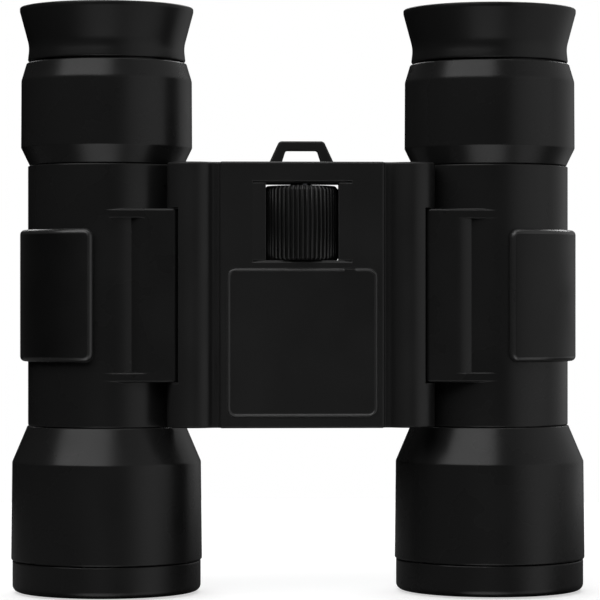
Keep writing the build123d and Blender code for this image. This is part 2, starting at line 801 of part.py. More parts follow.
# Bridge front cover: raised plate, hinge roofs, wheel window with finger relief, panel recess
with BuildPart() as front_cover:
    with BuildSketch(Plane.XY.offset(bridge_z0)):
        with BuildLine():
            bridge_front()
        make_face()
    extrude(amount=bridge_length)
    end_edges = front_cover.faces().filter_by(Axis.Z).edges()
    chamfer(end_edges.filter_by(lambda e: (e @ 0.5).Y < hinge_y - 0.5), edge_break)
    # Chamber of the yoke, bosses for the screws
    with BuildSketch(Plane.XZ.offset(-hinge_y)):
        with Locations((0, (chamber_z0 + chamber_z1) / 2)):
            Rectangle(2 * chamber_half, chamber_z1 - chamber_z0)
        with Locations((screw_x, screw_spots[0][1]), (-screw_x, screw_spots[0][1])):
            Circle(2.2, mode=Mode.SUBTRACT)
    extrude(amount=hinge_y - ceiling_y, mode=Mode.SUBTRACT)
    # Panel recess
    with BuildSketch(Plane.XZ.offset(-front_y)):
        with Locations((0, panel_z)):
            RectangleRounded(panel_w + 2 * seat_gap, panel_h + 2 * seat_gap, panel_corner)
    extrude(amount=-panel_sunk, mode=Mode.SUBTRACT)
    # Wheel window, finger relief beside it and the wheel chamber behind it
    with BuildSketch(Plane.XY.offset(window_z0)):
        with Locations((0, front_y - relief_r + relief_depth)):
            Circle(relief_r)
    extrude(amount=window_z1 - window_z0, mode=Mode.SUBTRACT)
    # Sloped lips at both ends of the relief
    for z, up in ((window_z0, -1), (window_z1, 1)):
        with BuildSketch(Plane.YZ):
            with BuildLine():
                Polyline(
                    (front_y + relief_lip, z),
                    (front_y - relief_lip, z + up * 2 * relief_lip),
                    (front_y - relief_lip, z),
                    close=True,
                )
            make_face()
        extrude(amount=relief_half, both=True, mode=Mode.SUBTRACT)
    with BuildSketch(Plane.XZ.offset(-hinge_y)):
        with Locations((0, (window_z0 + window_z1) / 2)):
            Rectangle(2 * window_half, window_z1 - window_z0)
    extrude(amount=tube_r, mode=Mode.SUBTRACT)
    with BuildSketch(Plane.XY.offset(window_z0)):
        with Locations((0, wheel_y)):
            Circle(wheel_r + 0.4)
    extrude(amount=window_z1 - window_z0, mode=Mode.SUBTRACT)
    # Spindle bores and bush seats
    with BuildSketch(Plane.XY.offset(bridge_z0 + 1.0)):
        with Locations((0, wheel_y)):
            Circle(thread_r - 0.3 + slide_gap)
    extrude(amount=3.0, mode=Mode.SUBTRACT)
    with BuildSketch(Plane.XY.offset(chamber_z1 - 0.1)):
        with Locations((0, wheel_y)):
            Circle(spindle_r + 0.1)
    extrude(amount=bulkhead, mode=Mode.SUBTRACT)
    for low, high in ((chamber_z1 + 0.8, window_z0 + 0.1), (window_z1 - 0.1, window_z1 + 2.5)):
        with BuildSketch(Plane.XY.offset(low)):
            with Locations((0, wheel_y)):
                Circle(bush_r + seat_gap)
        extrude(amount=high - low, mode=Mode.SUBTRACT)
    for s in (1, -1):
        # Hinge channel for the ears, notch for the wing, bores for the pins
        with BuildSketch(Plane.XY.offset(wing_z0 - 0.2)):
            with Locations((s * hinge_half, hinge_y)):
                Circle(channel_r)
            with Locations((s * (hinge_half + notch_u + roof_r), hinge_y)):
                Rectangle(2 * roof_r, 4 * roof_r)
        extrude(amount=wing_length + 0.4, mode=Mode.SUBTRACT)
        with BuildSketch(Plane.XY.offset(bridge_z0 + 0.5)):
            with Locations((s * hinge_half, hinge_y)):
                Circle(pin_r + seat_gap)
        extrude(amount=bridge_length - 1.0, mode=Mode.SUBTRACT)
        # Passage of the yoke bar and the screw holes
        with BuildSketch(Plane.XZ.offset(-hinge_y)):
            with Locations((s * hinge_half, fork_z)):
                Rectangle(2 * (hinge_half - chamber_half) + 1, fork_thick + 2 * focus_travel + 0.6)
        extrude(amount=1.9, mode=Mode.SUBTRACT)
        with BuildSketch(Plane.XZ.offset(-hinge_y)):
            with Locations(*[(s * x, z) for x, z in screw_spots]):
                Circle(1.0 + seat_gap)
        extrude(amount=2.7, mode=Mode.SUBTRACT)
    with BuildSketch(Plane.XZ.offset(-hinge_y)):
        with BuildLine():
            lug_outline(seat_gap)
        make_face()
    extrude(amount=1.3 + seat_gap, mode=Mode.SUBTRACT)

# Bridge back cover: window for the wheel, screw counterbores, saddles for pins and bushes
with BuildPart() as back_cover:
    with BuildSketch(Plane.XY.offset(bridge_z0)):
        with BuildLine():
            bridge_back()
        make_face()
    extrude(amount=bridge_length)
    end_edges = back_cover.faces().filter_by(Axis.Z).edges()
    chamfer(end_edges.filter_by(lambda e: (e @ 0.5).Y > hinge_y + 0.5), edge_break)
    with BuildSketch(Plane.XZ.offset(-hinge_y)):
        with Locations((0, (chamber_z0 + chamber_z1) / 2)):
            Rectangle(2 * chamber_half, chamber_z1 - chamber_z0)
        with Locations((screw_x, screw_spots[0][1]), (-screw_x, screw_spots[0][1])):
            Circle(2.8, mode=Mode.SUBTRACT)
    extrude(amount=hinge_y - floor_y, mode=Mode.SUBTRACT)
    # Wheel window, wider than the one in front
    with BuildSketch(Plane.XZ.offset(-hinge_y)):
        with Locations((0, (window_z0 + window_z1) / 2)):
            Rectangle(2 * wheel_r + 1.0, window_z1 - window_z0)
    extrude(amount=-tube_r, mode=Mode.SUBTRACT)
    # Spindle bores and bush seats, open to the split plane
    for low, high, r in (
        (bridge_z0 + 1.0, chamber_z0 + 0.1, thread_r - 0.3 + slide_gap),
        (chamber_z1 - 0.1, chamber_z1 + 1.0, spindle_r + 0.1),
        (chamber_z1 + 0.8, window_z0 + 0.1, bush_r + seat_gap),
        (window_z1 - 0.1, window_z1 + 2.5, bush_r + seat_gap),
    ):
        with BuildSketch(Plane.XY.offset(low)):
            with Locations((0, wheel_y)):
                Circle(r)
            with Locations((0, hinge_y)):
                Rectangle(2 * r, 2 * (wheel_y - hinge_y))
        extrude(amount=high - low, mode=Mode.SUBTRACT)
    for s in (1, -1):
        # Clear of the wing and its ears between the end knuckles
        with BuildSketch(Plane.XY.offset(wing_z0 - 0.2)):
            with Locations((s * (back_half + 1.5 * roof_r), hinge_y)):
                Rectangle(3 * roof_r, 4 * roof_r)
        extrude(amount=wing_length + 0.4, mode=Mode.SUBTRACT)
        with BuildSketch(Plane.XY.offset(bridge_z0 + 0.5)):
            with Locations((s * hinge_half, hinge_y)):
                Circle(pin_r + seat_gap)
        extrude(amount=bridge_length - 1.0, mode=Mode.SUBTRACT)
        with BuildSketch(Plane.XZ.offset(-hinge_y)):
            with Locations((s * hinge_half, fork_z)):
                Rectangle(2 * (hinge_half - chamber_half) + 1, fork_thick + 2 * focus_travel + 0.6)
        extrude(amount=-2.0, mode=Mode.SUBTRACT)
        with BuildSketch(Plane.XZ.offset(-hinge_y)):
            with Locations(*[(s * x, z) for x, z in screw_spots]):
                Circle(1.1)
        extrude(amount=-2 * roof_r, mode=Mode.SUBTRACT)
        with BuildSketch(Plane.XZ.offset(-back_y)):
            with Locations(*[(s * x, z) for x, z in screw_spots]):
                Circle(2.0)
        extrude(amount=1.3, mode=Mode.SUBTRACT)
    with BuildSketch(Plane.XZ.offset(-hinge_y)):
        with BuildLine():
            lug_outline(seat_gap)
        make_face()
    extrude(amount=-1.3 - seat_gap, mode=Mode.SUBTRACT)

# Blank inlay panel with a thin raised border, broken near one end of its upper side
with BuildPart() as panel:
    with BuildSketch(Plane.XZ.offset(seat_gap - front_y)):
        with Locations((0, panel_z)):
            RectangleRounded(panel_w, panel_h, panel_corner)
    extrude(amount=-panel_sunk)
    with BuildSketch(Plane.XZ.offset(seat_gap - front_y)):
        with Locations((0, panel_z)):
            RectangleRounded(panel_w, panel_h, panel_corner)
            RectangleRounded(
                panel_w - 2 * panel_bead,
                panel_h - 2 * panel_bead,
                panel_corner - panel_bead,
                mode=Mode.SUBTRACT,
            )
        with Locations((panel_w / 2 - 5.0, panel_z1)):
            Rectangle(2.0, 4 * panel_bead, mode=Mode.SUBTRACT)
    extrude(amount=0.22)

# Strap lug clamped between the covers
with BuildPart() as strap_lug:
    with BuildSketch(Plane.XZ.offset(-hinge_y)):
        with BuildLine():
            lug_outline(0)
        make_face()
        with BuildLine():
            FilletPolyline(
                (-3.6, bridge_z1 - 2.5),
                (-3.6, bridge_z1),
                (-2.9, bridge_z1 + lug_rise - lug_bar),
                (2.9, bridge_z1 + lug_rise - lug_bar),
                (3.6, bridge_z1),
                (3.6, bridge_z1 - 2.5),
                radius=[0.3, 0.5, 0.5, 0.3],
            )
            Line((3.6, bridge_z1 - 2.5), (-3.6, bridge_z1 - 2.5))
        make_face(mode=Mode.SUBTRACT)
    extrude(amount=1.3, both=True)
    loop_edges = strap_lug.faces().filter_by(Axis.Y).edges()
    chamfer(loop_edges.filter_by(lambda e: (e @ 0.5).Z > bridge_z1 + 0.4), 0.2)

# Four equal screws from the back cover into the front cover
with BuildPart() as cover_screws:
    spots = [(s * x, z) for x, z in screw_spots for s in (1, -1)]
    with BuildSketch(Plane.XZ.offset(0.1 - back_y)):
        with Locations(*spots):
            Circle(1.85)
    extrude(amount=1.2)
    with BuildSketch(Plane.XZ.offset(1.2 - back_y)):
        with Locations(*spots):
            Circle(1.0)
    extrude(amount=back_y - hinge_y + 1.2)
    with BuildSketch(Plane.XZ.offset(-back_y)):
        with Locations(*spots):
            Rectangle(2.6, 0.5)
            Rectangle(0.5, 2.6)
    extrude(amount=0.7, mode=Mode.SUBTRACT)

# Two bushes that carry the spindle on each side of the wheel
with BuildPart() as spindle_bushes:
    for low, high in ((chamber_z1 + 0.85, window_z0 - 0.1), (window_z1 + 0.1, window_z1 + 2.45)):
        with BuildSketch(Plane.XY.offset(low)):
            with Locations((0, wheel_y)):
                Circle(bush_r)
                Circle(spindle_r + slide_gap, mode=Mode.SUBTRACT)
        extrude(amount=high - low)

# Ribbed focus wheel
with BuildPart() as focus_wheel:
    with BuildSketch(upright_plane(0, wheel_y)):
        with BuildLine():
            corners(
                (spindle_r + 0.01, wheel_z0, 0),
                (wheel_r - 1.0, wheel_z0, 0),
                (wheel_r, wheel_z0 + 0.9, 0),
                (wheel_r, wheel_z1 - 0.9, 0),
                (wheel_r - 1.0, wheel_z1, 0),
                (spindle_r + 0.01, wheel_z1, 0),
            )
        make_face()
    revolve(axis=Axis((0, wheel_y, 0), (0, 0, 1)))
    groove_r = 0.3 * 6.283 * wheel_r / wheel_ribs
    with BuildSketch(Plane.XY.offset(wheel_z0)):
        with Locations((0, wheel_y)):
            with PolarLocations(wheel_r + 0.1 * groove_r, wheel_ribs):
                RegularPolygon(groove_r, 6)
    extrude(amount=wheel_length, mode=Mode.SUBTRACT)

# Spindle: tail journal, thread for the yoke, journals and seat for the wheel
with BuildPart() as focus_spindle:
    with BuildSketch(upright_plane(0, wheel_y)):
        with BuildLine():
            corners(
                (0, bridge_z0 + 1.1, 0),
                (thread_r - 0.3, bridge_z0 + 1.1, 0.2),
                (thread_r - 0.3, chamber_z0 + 0.3, 0),
                (thread_r, chamber_z0 + 0.3, 0),
                (thread_r, chamber_z1 - 0.02, 0),
                (spindle_r, chamber_z1 - 0.02, 0),
                (spindle_r, window_z1 + 2.4, 0.2),
                (0, window_z1 + 2.4, 0),
            )
        make_face()
    revolve(axis=Axis((0, wheel_y, 0), (0, 0, 1)))

# Yoke: nut on the spindle with a cross bar to the grooves of both focus rods
with BuildPart() as focus_yoke:
    with BuildSketch(Plane.XY.offset(fork_z - fork_thick / 2)):
        with Locations((0, hinge_y + 0.2)):
            Rectangle(2 * hinge_half, 3.0)
        with Locations((hinge_half, hinge_y), (-hinge_half, hinge_y)):
            Circle(fork_r)
        with Locations((0, wheel_y)):
            Circle(2.5)
    extrude(amount=fork_thick)
    with BuildSketch(Plane.XY.offset(fork_z - fork_thick / 2 - 6.0)):
        with Locations((0, wheel_y)):
            Circle(2.5)
    extrude(amount=6.0)
    with BuildSketch(Plane.XY.offset(fork_z - fork_thick / 2 - 6.0)):
        with Locations((0, wheel_y)):
            Circle(thread_r + slide_gap)
    extrude(amount=6.0 + fork_thick, mode=Mode.SUBTRACT)
    for s in (1, -1):
        with BuildSketch(Plane.XY.offset(fork_z - fork_thick / 2)):
            with Locations((s * hinge_half, hinge_y)):
                Circle(rod_r + slide_gap)
            with Locations((s * (hinge_half + 2.5), hinge_y)):
                Rectangle(5.0, 2 * (rod_r + slide_gap))
        extrude(amount=fork_thick, mode=Mode.SUBTRACT)

pieces = {
    "bridge_front_cover": front_cover.part,
    "bridge_back_cover": back_cover.part,
    "inlay_panel": panel.part,
    "strap_lug": strap_lug.part,
    "cover_screws": cover_screws.part,
    "spindle_bushes": spindle_bushes.part,
    "focus_wheel": focus_wheel.part,
    "focus_spindle": focus_spindle.part,
    "focus_yoke": focus_yoke.part,
    "right_key_pin": make_key(),
}
makers = {
    "objective_bezel": make_bezel,
    "objective_bell": make_bell,
    "barrel_tube": make_tube,
    "grip_pad": make_pad,
    "eyecup": make_eyecup,
    "ocular_tube": make_ocular,
    "field_stop": make_field_stop,
    "field_lens": make_field_lens,
    "eye_lens": make_eye_lens,
    "eye_retainer": make_eye_retainer,
    "prism_cage": make_cage,
    "half_penta_prism": make_half_penta,
    "roof_prism": make_roof_prism,
    "prism_clip": make_prism_clip,
    "objective_cell": make_cell,
    "crown_lens": make_crown,
    "flint_lens": make_flint,
    "lens_retainer": make_lens_retainer,
    "focus_arm": make_arm,
    "focus_rod": make_rod,
    "hinge_pins": make_hinge_pins,
}
for side, sign in (("left", 1), ("right", -1)):
    for name, maker in makers.items():
        pieces[f"{side}_{name}"] = maker(sign)
pieces["left_eyepiece_sleeve"] = make_sleeve(1)
pieces["right_dioptre_ring"] = make_sleeve(-1)

os.makedirs("parts", exist_ok=True)
for name, part in pieces.items():
    part.label = name
    export_step(part, f"parts/{name}.step")
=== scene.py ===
"""Looks of a pair of compact folding binoculars, built around their CAD frame.

The frame gives every place and size. The rigid mouldings keep their CAD shape and get their finishes here;
the rubber parts, the focus wheel, the inlay and the screws are shaped again in finer detail.
The unit of every length is the millimetre, unless its name or its class says otherwise.
"""

import json
import logging
from collections.abc import Sequence
from dataclasses import dataclass, field
from enum import Enum
from math import cos, pi, radians, sin, tau

import bmesh
import bpy
from mathutils import Matrix, Vector


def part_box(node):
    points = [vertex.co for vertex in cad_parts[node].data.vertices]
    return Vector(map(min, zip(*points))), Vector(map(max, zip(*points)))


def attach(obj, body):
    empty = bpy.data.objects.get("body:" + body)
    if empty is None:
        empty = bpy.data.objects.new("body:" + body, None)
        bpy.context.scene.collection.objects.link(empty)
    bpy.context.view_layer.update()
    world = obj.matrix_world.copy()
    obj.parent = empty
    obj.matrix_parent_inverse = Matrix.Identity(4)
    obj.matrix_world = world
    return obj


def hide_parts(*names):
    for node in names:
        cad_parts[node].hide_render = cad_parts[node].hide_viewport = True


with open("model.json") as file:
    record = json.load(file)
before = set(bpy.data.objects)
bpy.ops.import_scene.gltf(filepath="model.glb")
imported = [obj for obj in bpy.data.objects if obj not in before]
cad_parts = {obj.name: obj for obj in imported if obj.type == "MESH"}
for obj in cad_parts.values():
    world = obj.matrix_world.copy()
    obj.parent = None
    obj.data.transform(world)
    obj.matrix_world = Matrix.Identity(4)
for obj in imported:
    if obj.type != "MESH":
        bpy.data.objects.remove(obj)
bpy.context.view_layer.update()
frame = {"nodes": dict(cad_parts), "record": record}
BODY_OF = {node: body for body, nodes in frame["record"]["behaviour"]["bodies"].items() for node in nodes}
MM = 0.001

# Corners of a mesh that are nearer than this, in millimetres, become one.
MERGE_DISTANCE = 1e-4
# Most of a side of an outline that the rounding of one of its corners takes.
SIDE_SHARE = 0.49
# The Mix node has sockets of one name for each kind of value, so they are told apart by number.
COLOUR_A, COLOUR_B, COLOUR_MIXED = 6, 7, 2
FLOAT_A, FLOAT_B, FLOAT_MIXED = 2, 3, 0

log = logging.getLogger("binoculars")


class Side(Enum):
    """The user's two sides; the value is the sign of X."""

    LEFT = 1
    RIGHT = -1

    def node(self, name: str) -> str:
        """Name of this side's CAD node."""
        return f"{self.name.lower()}_{name}"


@dataclass(frozen=True)
class Span:
    """Box of a CAD node at rest, in millimetres."""

    low: Vector
    high: Vector

    @classmethod
    def of(cls, node: str) -> "Span":
        """Reads the box of a node from the frame."""
        low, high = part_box(node)
        return cls(low / MM, high / MM)

    @property
    def centre(self) -> Vector:
        """Middle of the box."""
        return (self.low + self.high) / 2

    @property
    def half(self) -> Vector:
        """Half of the box's three sides."""
        return (self.high - self.low) / 2


# Nodes and materials


def linear(code: str) -> tuple[float, float, float, float]:
    """Turns an sRGB hex colour into linear red, green, blue and alpha, by the curve of that standard.

    Args:
        code: six hex digits after a #.

    Returns:
        Linear channels from 0 to 1, with alpha 1.
    """
    shares = [int(code[i : i + 2], 16) / 255 for i in (1, 3, 5)]
    red, green, blue = [s / 12.92 if s <= 0.04045 else ((s + 0.055) / 1.055) ** 2.4 for s in shares]
    return red, green, blue, 1.0


def add_node(
    tree: bpy.types.NodeTree,
    kind: str,
    values: dict[str | int, object] | None = None,
    links: dict[str | int, bpy.types.NodeSocket] | None = None,
    **settings: object,
) -> bpy.types.Node:
    """Adds one node with its settings, input values and links.

    Args:
        tree: tree that takes the node.
        kind: Blender's type name of the node.
        values: values of unlinked inputs, by name or number.
        links: output sockets that feed inputs, by name or number.
        settings: properties of the node itself.

    Returns:
        The new node.
    """
    node = tree.nodes.new(kind)
    for name, value in settings.items():
        setattr(node, name, value)
    for name, value in (values or {}).items():
        node.inputs[name].default_value = value
    for name, source in (links or {}).items():
        tree.links.new(source, node.inputs[name])
    return node


@dataclass(frozen=True)
class Finish:
    """What all finishes share: a name, a main colour and a mean roughness."""

    name: str
    colour: str
    roughness: float

    def start(self, **values: object) -> tuple[bpy.types.Material, bpy.types.NodeTree, bpy.types.Node]:
        """Makes the material with its shader and output.

        Args:
            values: values of the shader's inputs, with _ for each space of their names.

        Returns:
            The material, its node tree and its shader.
        """
        material = bpy.data.materials.new(self.name)
        material.use_nodes = True
        tree = material.node_tree
        tree.nodes.clear()
        named = {key.replace("_", " "): value for key, value in values.items()}
        base = {"Base Color": linear(self.colour), "Roughness": self.roughness}
        shader = add_node(tree, "ShaderNodeBsdfPrincipled", base | named)
        add_node(tree, "ShaderNodeOutputMaterial", links={"Surface": shader.outputs["BSDF"]})
        return material, tree, shader

    def build(self) -> bpy.types.Material:
        """Makes the material, with nothing but its colour and roughness."""
        return self.start()[0]


@dataclass(frozen=True)
class Moulding(Finish):
    """Injection-moulded plastic or rubber from a spark-eroded tool.

    The eye sees a dull black with a fine pebble in its highlights, faint clouds where it was handled,
    and slightly rounded edges painted paler, partly as wear and partly as a painted highlight along them.
    The paler edge colour starts and is full where the cosine between the rounded edge and the flat face
    falls to edge_start and to edge_full.
    """

    worn: str
    edge_wear_and_highlight: str = "#383838"
    grain: float = 0.3
    grain_depth: float = 0.012
    grain_strength: float = 0.6
    cloud: float = 11.0
    cloud_low: float = 0.3
    cloud_high: float = 0.7
    gloss_swing: float = 0.05
    edge: float = 0.25
    edge_start: float = 0.995
    edge_full: float = 0.8
    ior: float = 1.5
    shine: float = 0.3
    sheen: float = 0.0

    def build(self) -> bpy.types.Material:
        """Makes the material.

        Returns:
            The material.
        """
        material, tree, shader = self.start(
            IOR=self.ior, Specular_IOR_Level=self.shine, Sheen_Weight=self.sheen
        )
        place = add_node(tree, "ShaderNodeTexCoord").outputs["Object"]
        # A real spark-eroded grain is about 0.1 mm; it is drawn coarser so that it shows in the render.
        pebble = add_node(
            tree, "ShaderNodeTexNoise", {"Scale": 1 / (self.grain * MM), "Detail": 2}, {"Vector": place}
        )
        clouds = add_node(
            tree, "ShaderNodeTexNoise", {"Scale": 1 / (self.cloud * MM), "Detail": 4}, {"Vector": place}
        )
        round_edge = add_node(tree, "ShaderNodeBevel", {"Radius": self.edge * MM}, samples=4)
        flat = add_node(tree, "ShaderNodeNewGeometry")
        turn = add_node(
            tree,
            "ShaderNodeVectorMath",
            links={0: round_edge.outputs["Normal"], 1: flat.outputs["Normal"]},
            operation="DOT_PRODUCT",
        )
        corner = add_node(
            tree,
            "ShaderNodeMapRange",
            {"From Min": self.edge_start, "From Max": self.edge_full},
            {"Value": turn.outputs["Value"]},
        )
        handled = add_node(
            tree,
            "ShaderNodeMix",
            {COLOUR_A: linear(self.colour), COLOUR_B: linear(self.worn)},
            {"Factor": clouds.outputs["Fac"]},
            data_type="RGBA",
        )
        # Painted highlight: edges are mixed towards the paler edge colour, which stands partly for wear and
        # partly for light along them.
        tone = add_node(
            tree,
            "ShaderNodeMix",
            {COLOUR_B: linear(self.edge_wear_and_highlight)},
            {"Factor": corner.outputs["Result"], COLOUR_A: handled.outputs[COLOUR_MIXED]},
            data_type="RGBA",
        )
        gloss = add_node(
            tree,
            "ShaderNodeMapRange",
            {
                "From Min": self.cloud_low,
                "From Max": self.cloud_high,
                "To Min": self.roughness + self.gloss_swing,
                "To Max": self.roughness - self.gloss_swing,
            },
            {"Value": clouds.outputs["Fac"]},
        )
        bump = add_node(
            tree,
            "ShaderNodeBump",
            {"Strength": self.grain_strength, "Distance": self.grain_depth * MM},
            {"Height": pebble.outputs["Fac"], "Normal": round_edge.outputs["Normal"]},
        )
        tree.links.new(tone.outputs[COLOUR_MIXED], shader.inputs["Base Color"])
        tree.links.new(gloss.outputs["Result"], shader.inputs["Roughness"])
        tree.links.new(bump.outputs["Normal"], shader.inputs["Normal"])
        return material


@dataclass(frozen=True)
class Turned(Finish):
    """Metal turned on a lathe, bright or anodised: fine rings from the tool and a patchy tarnish."""

    tarnish: str
    patch: float = 4.0
    ring: float = 0.25
    ring_depth: float = 0.004
    ring_strength: float = 0.5
    wander: float = 0.4

    def build(self) -> bpy.types.Material:
        """Makes the material.

        Returns:
            The material.
        """
        material, tree, shader = self.start(Metallic=1.0)
        place = add_node(tree, "ShaderNodeTexCoord").outputs["Object"]
        patches = add_node(
            tree, "ShaderNodeTexNoise", {"Scale": 1 / (self.patch * MM), "Detail": 5}, {"Vector": place}
        )
        # One wave of the texture is tau / 20 of its scaled coordinate.
        rings = add_node(
            tree,
            "ShaderNodeTexWave",
            {"Scale": tau / 20 / (self.ring * MM), "Distortion": self.wander},
            {"Vector": place},
            bands_direction="Z",
        )
        tone = add_node(
            tree,
            "ShaderNodeMix",
            {COLOUR_A: linear(self.colour), COLOUR_B: linear(self.tarnish)},
            {"Factor": patches.outputs["Fac"]},
            data_type="RGBA",
        )
        bump = add_node(
            tree,
            "ShaderNodeBump",
            {"Strength": self.ring_strength, "Distance": self.ring_depth * MM},
            {"Height": rings.outputs["Fac"]},
        )
        tree.links.new(tone.outputs[COLOUR_MIXED], shader.inputs["Base Color"])
        tree.links.new(bump.outputs["Normal"], shader.inputs["Normal"])
        return material


@dataclass(frozen=True)
class CoatedGlass(Finish):
    """Polished optical glass with a quarter-wave coat, which turns its reflections purple or green."""

    coat_nm: float = 130.0
    coat_ior: float = 1.38
    ior: float = 1.52
    haze: float = 6.0
    haze_low: float = 0.55
    haze_high: float = 0.8
    smear: float = 0.04

    def build(self) -> bpy.types.Material:
        """Makes the material.

        Returns:
            The material.
        """
        material, tree, shader = self.start(
            IOR=self.ior,
            Transmission_Weight=1.0,
            Thin_Film_Thickness=self.coat_nm,
            Thin_Film_IOR=self.coat_ior,
        )
        place = add_node(tree, "ShaderNodeTexCoord").outputs["Object"]
        haze = add_node(
            tree, "ShaderNodeTexNoise", {"Scale": 1 / (self.haze * MM), "Detail": 3}, {"Vector": place}
        )
        smears = add_node(
            tree,
            "ShaderNodeMapRange",
            {
                "From Min": self.haze_low,
                "From Max": self.haze_high,
                "To Min": self.roughness,
                "To Max": self.roughness + self.smear,
            },
            {"Value": haze.outputs["Fac"]},
        )
        tree.links.new(smears.outputs["Result"], shader.inputs["Roughness"])
        return material


class Look(Enum):
    """The finishes of the binoculars."""

    # Covers and strap loop: satin black, with edges painted paler, partly as wear and partly as painted
    # highlight.
    SHELL = Moulding("Moulded ABS, black", "#222222", 0.34, worn="#272727", edge_wear_and_highlight="#545454")
    # Tubes, bells, bezels and eyepiece rings: smoother, with long soft highlights.
    BARREL = Moulding(
        "Moulded ABS, black, satin", "#1e1e1e", 0.28, worn="#232323", edge_wear_and_highlight="#484848", grain=0.25
    )
    # Eyecups: an even black with a broad dull highlight.
    RUBBER = Moulding(
        "Moulded rubber, black", "#191919", 0.34, worn="#1d1d1d", grain=0.4, grain_depth=0.016
    )
    # Field of the grip pads: the deepest black of the object.
    GRIP = Moulding(
        "Moulded rubber, black, soft",
        "#080808",
        0.42,
        worn="#0b0b0b",
        grain=0.4,
        grain_depth=0.016,
        shine=0.32,
        sheen=0.02,
    )
    # Rolled border of the grip pads: its paler colour paints a light line along the crest, a painted
    # highlight.
    RIM = Moulding(
        "Moulded rubber, black, rolled",
        "#262626",
        0.3,
        worn="#2e2e2e",
        grain=0.4,
        grain_depth=0.006,
        shine=0.6,
    )
    # Focus wheel: a glint on the crest of each rib, with the rib edges painted paler as painted highlight.
    WHEEL = Moulding("Moulded ABS, black, ribbed", "#1a1a1a", 0.3, worn="#1f1f1f", grain=0.2, edge=0.1)
    # Panel in the bridge: a flat, quiet black below the shade of the covers.
    INLAY = Moulding("Moulded ABS, black, fine grain", "#1a1a1a", 0.4, worn="#1e1e1e", grain=0.22)
    # Bead round the panel: its paler colour paints a fine bright line, a painted highlight.
    BEAD = Moulding(
        "Moulded ABS, black, polished", "#363636", 0.22, worn="#3e3e3e", grain_depth=0.002, shine=0.5
    )
    # Lenses: clear, with a tint in their reflections.
    GLASS = CoatedGlass("Optical glass, coated", "#f4f8f6", 0.0)
    # Prisms: clear, with plain reflections.
    PRISM = CoatedGlass("Prism glass, polished", "#eef4f2", 0.0, coat_nm=0.0)
    # Screws, rods, pins and clips: grey metal with a soft sheen.
    STEEL = Turned("Steel, turned", "#8e9094", 0.32, tarnish="#6f7276")
    # Bushes and yoke: warm yellow metal.
    BRASS = Turned("Brass, turned", "#b99a55", 0.3, tarnish="#8f7338")
    # Cells, cages and stops round the optics: dark metal that throws little light back.
    ANODISED = Turned("Aluminium, black anodised", "#1b1b1d", 0.45, tarnish="#131315")


# Meshes


def to_object(name: str, mesh: bpy.types.Mesh, sharp_degrees: float = 38.0) -> bpy.types.Object:
    """Puts a mesh in the scene with smooth faces and sharp corners.

    Args:
        name: name of the piece.
        mesh: its mesh, in metres.
        sharp_degrees: edges that turn by more than this stay sharp.

    Returns:
        The new object, at the origin.
    """
    mesh.polygons.foreach_set("use_smooth", [True] * len(mesh.polygons))
    mesh.set_sharp_from_angle(angle=radians(sharp_degrees))
    piece = bpy.data.objects.new(name, mesh)
    bpy.context.scene.collection.objects.link(piece)
    return piece


def mesh_of(name: str, work: bmesh.types.BMesh) -> bpy.types.Mesh:
    """Turns a bmesh in millimetres into a mesh in metres, with its faces outwards.

    Args:
        name: name of the mesh.
        work: the bmesh, which is freed.

    Returns:
        The mesh.
    """
    bmesh.ops.remove_doubles(work, verts=work.verts, dist=MERGE_DISTANCE)
    bmesh.ops.recalc_face_normals(work, faces=work.faces)
    bmesh.ops.scale(work, vec=(MM, MM, MM), verts=work.verts)
    mesh = bpy.data.meshes.new(name)
    work.to_mesh(mesh)
    work.free()
    return mesh


def rounded(corners: Sequence[tuple[float, float, float]], steps: int = 6) -> list[tuple[float, float]]:
    """Rounds the corners of a closed outline.

    Args:
        corners: rows of radius, height and rounding.
        steps: spans of each rounded corner.

    Returns:
        Points of the outline in order.
    """
    points = []
    for i, (r, z, rounding) in enumerate(corners):
        here = Vector((r, z))
        if rounding == 0:
            points.append((r, z))
            continue
        back = Vector(corners[i - 1][:2]) - here
        ahead = Vector(corners[(i + 1) % len(corners)][:2]) - here
        half = back.angle(ahead) / 2
        reach = min(rounding * cos(half) / sin(half), SIDE_SHARE * back.length, SIDE_SHARE * ahead.length)
        first, last = here + back.normalized() * reach, here + ahead.normalized() * reach
        for k in range(steps + 1):
            t = k / steps
            points.append(tuple(first * (1 - t) ** 2 + here * 2 * t * (1 - t) + last * t**2))
    return points


def rounded_rectangle(
    half_x: float,
    half_z: float,
    radius: float,
    long_steps: int = 1,
    short_steps: int = 1,
    arc_steps: int = 6,
) -> list[tuple[float, float]]:
    """Outline of a rounded rectangle that mirrors itself point by point about its long middle line.

    Args:
        half_x: half of the length.
        half_z: half of the height.
        radius: rounding of the corners.
        long_steps: points on each half of a long side.
        short_steps: points on each half of a short side.
        arc_steps: spans of a corner.

    Returns:
        Points counter-clockwise from the middle of the right side.
    """
    straight_x, straight_z = half_x - radius, half_z - radius
    quarter = [(half_x, straight_z * (k + 0.5) / short_steps) for k in range(short_steps)]
    for k in range(arc_steps + 1):
        a = pi / 2 * k / arc_steps
        quarter.append((straight_x + radius * cos(a), straight_z + radius * sin(a)))
    quarter += [(straight_x * (1 - (k + 0.5) / long_steps), half_z) for k in range(long_steps)]
    upper = quarter + [(-x, z) for x, z in reversed(quarter)]
    return upper + [(x, -z) for x, z in reversed(upper)]


def skin(work: bmesh.types.BMesh, rings: Sequence[Sequence[bmesh.types.BMVert]]) -> None:
    """Covers the bands between closed rings of equal count.

    Args:
        work: bmesh that holds the rings.
        rings: corners of each ring, in order.
    """
    for ring, after in zip(rings, rings[1:]):
        for i in range(len(ring)):
            work.faces.new((ring[i - 1], ring[i], after[i], after[i - 1]))


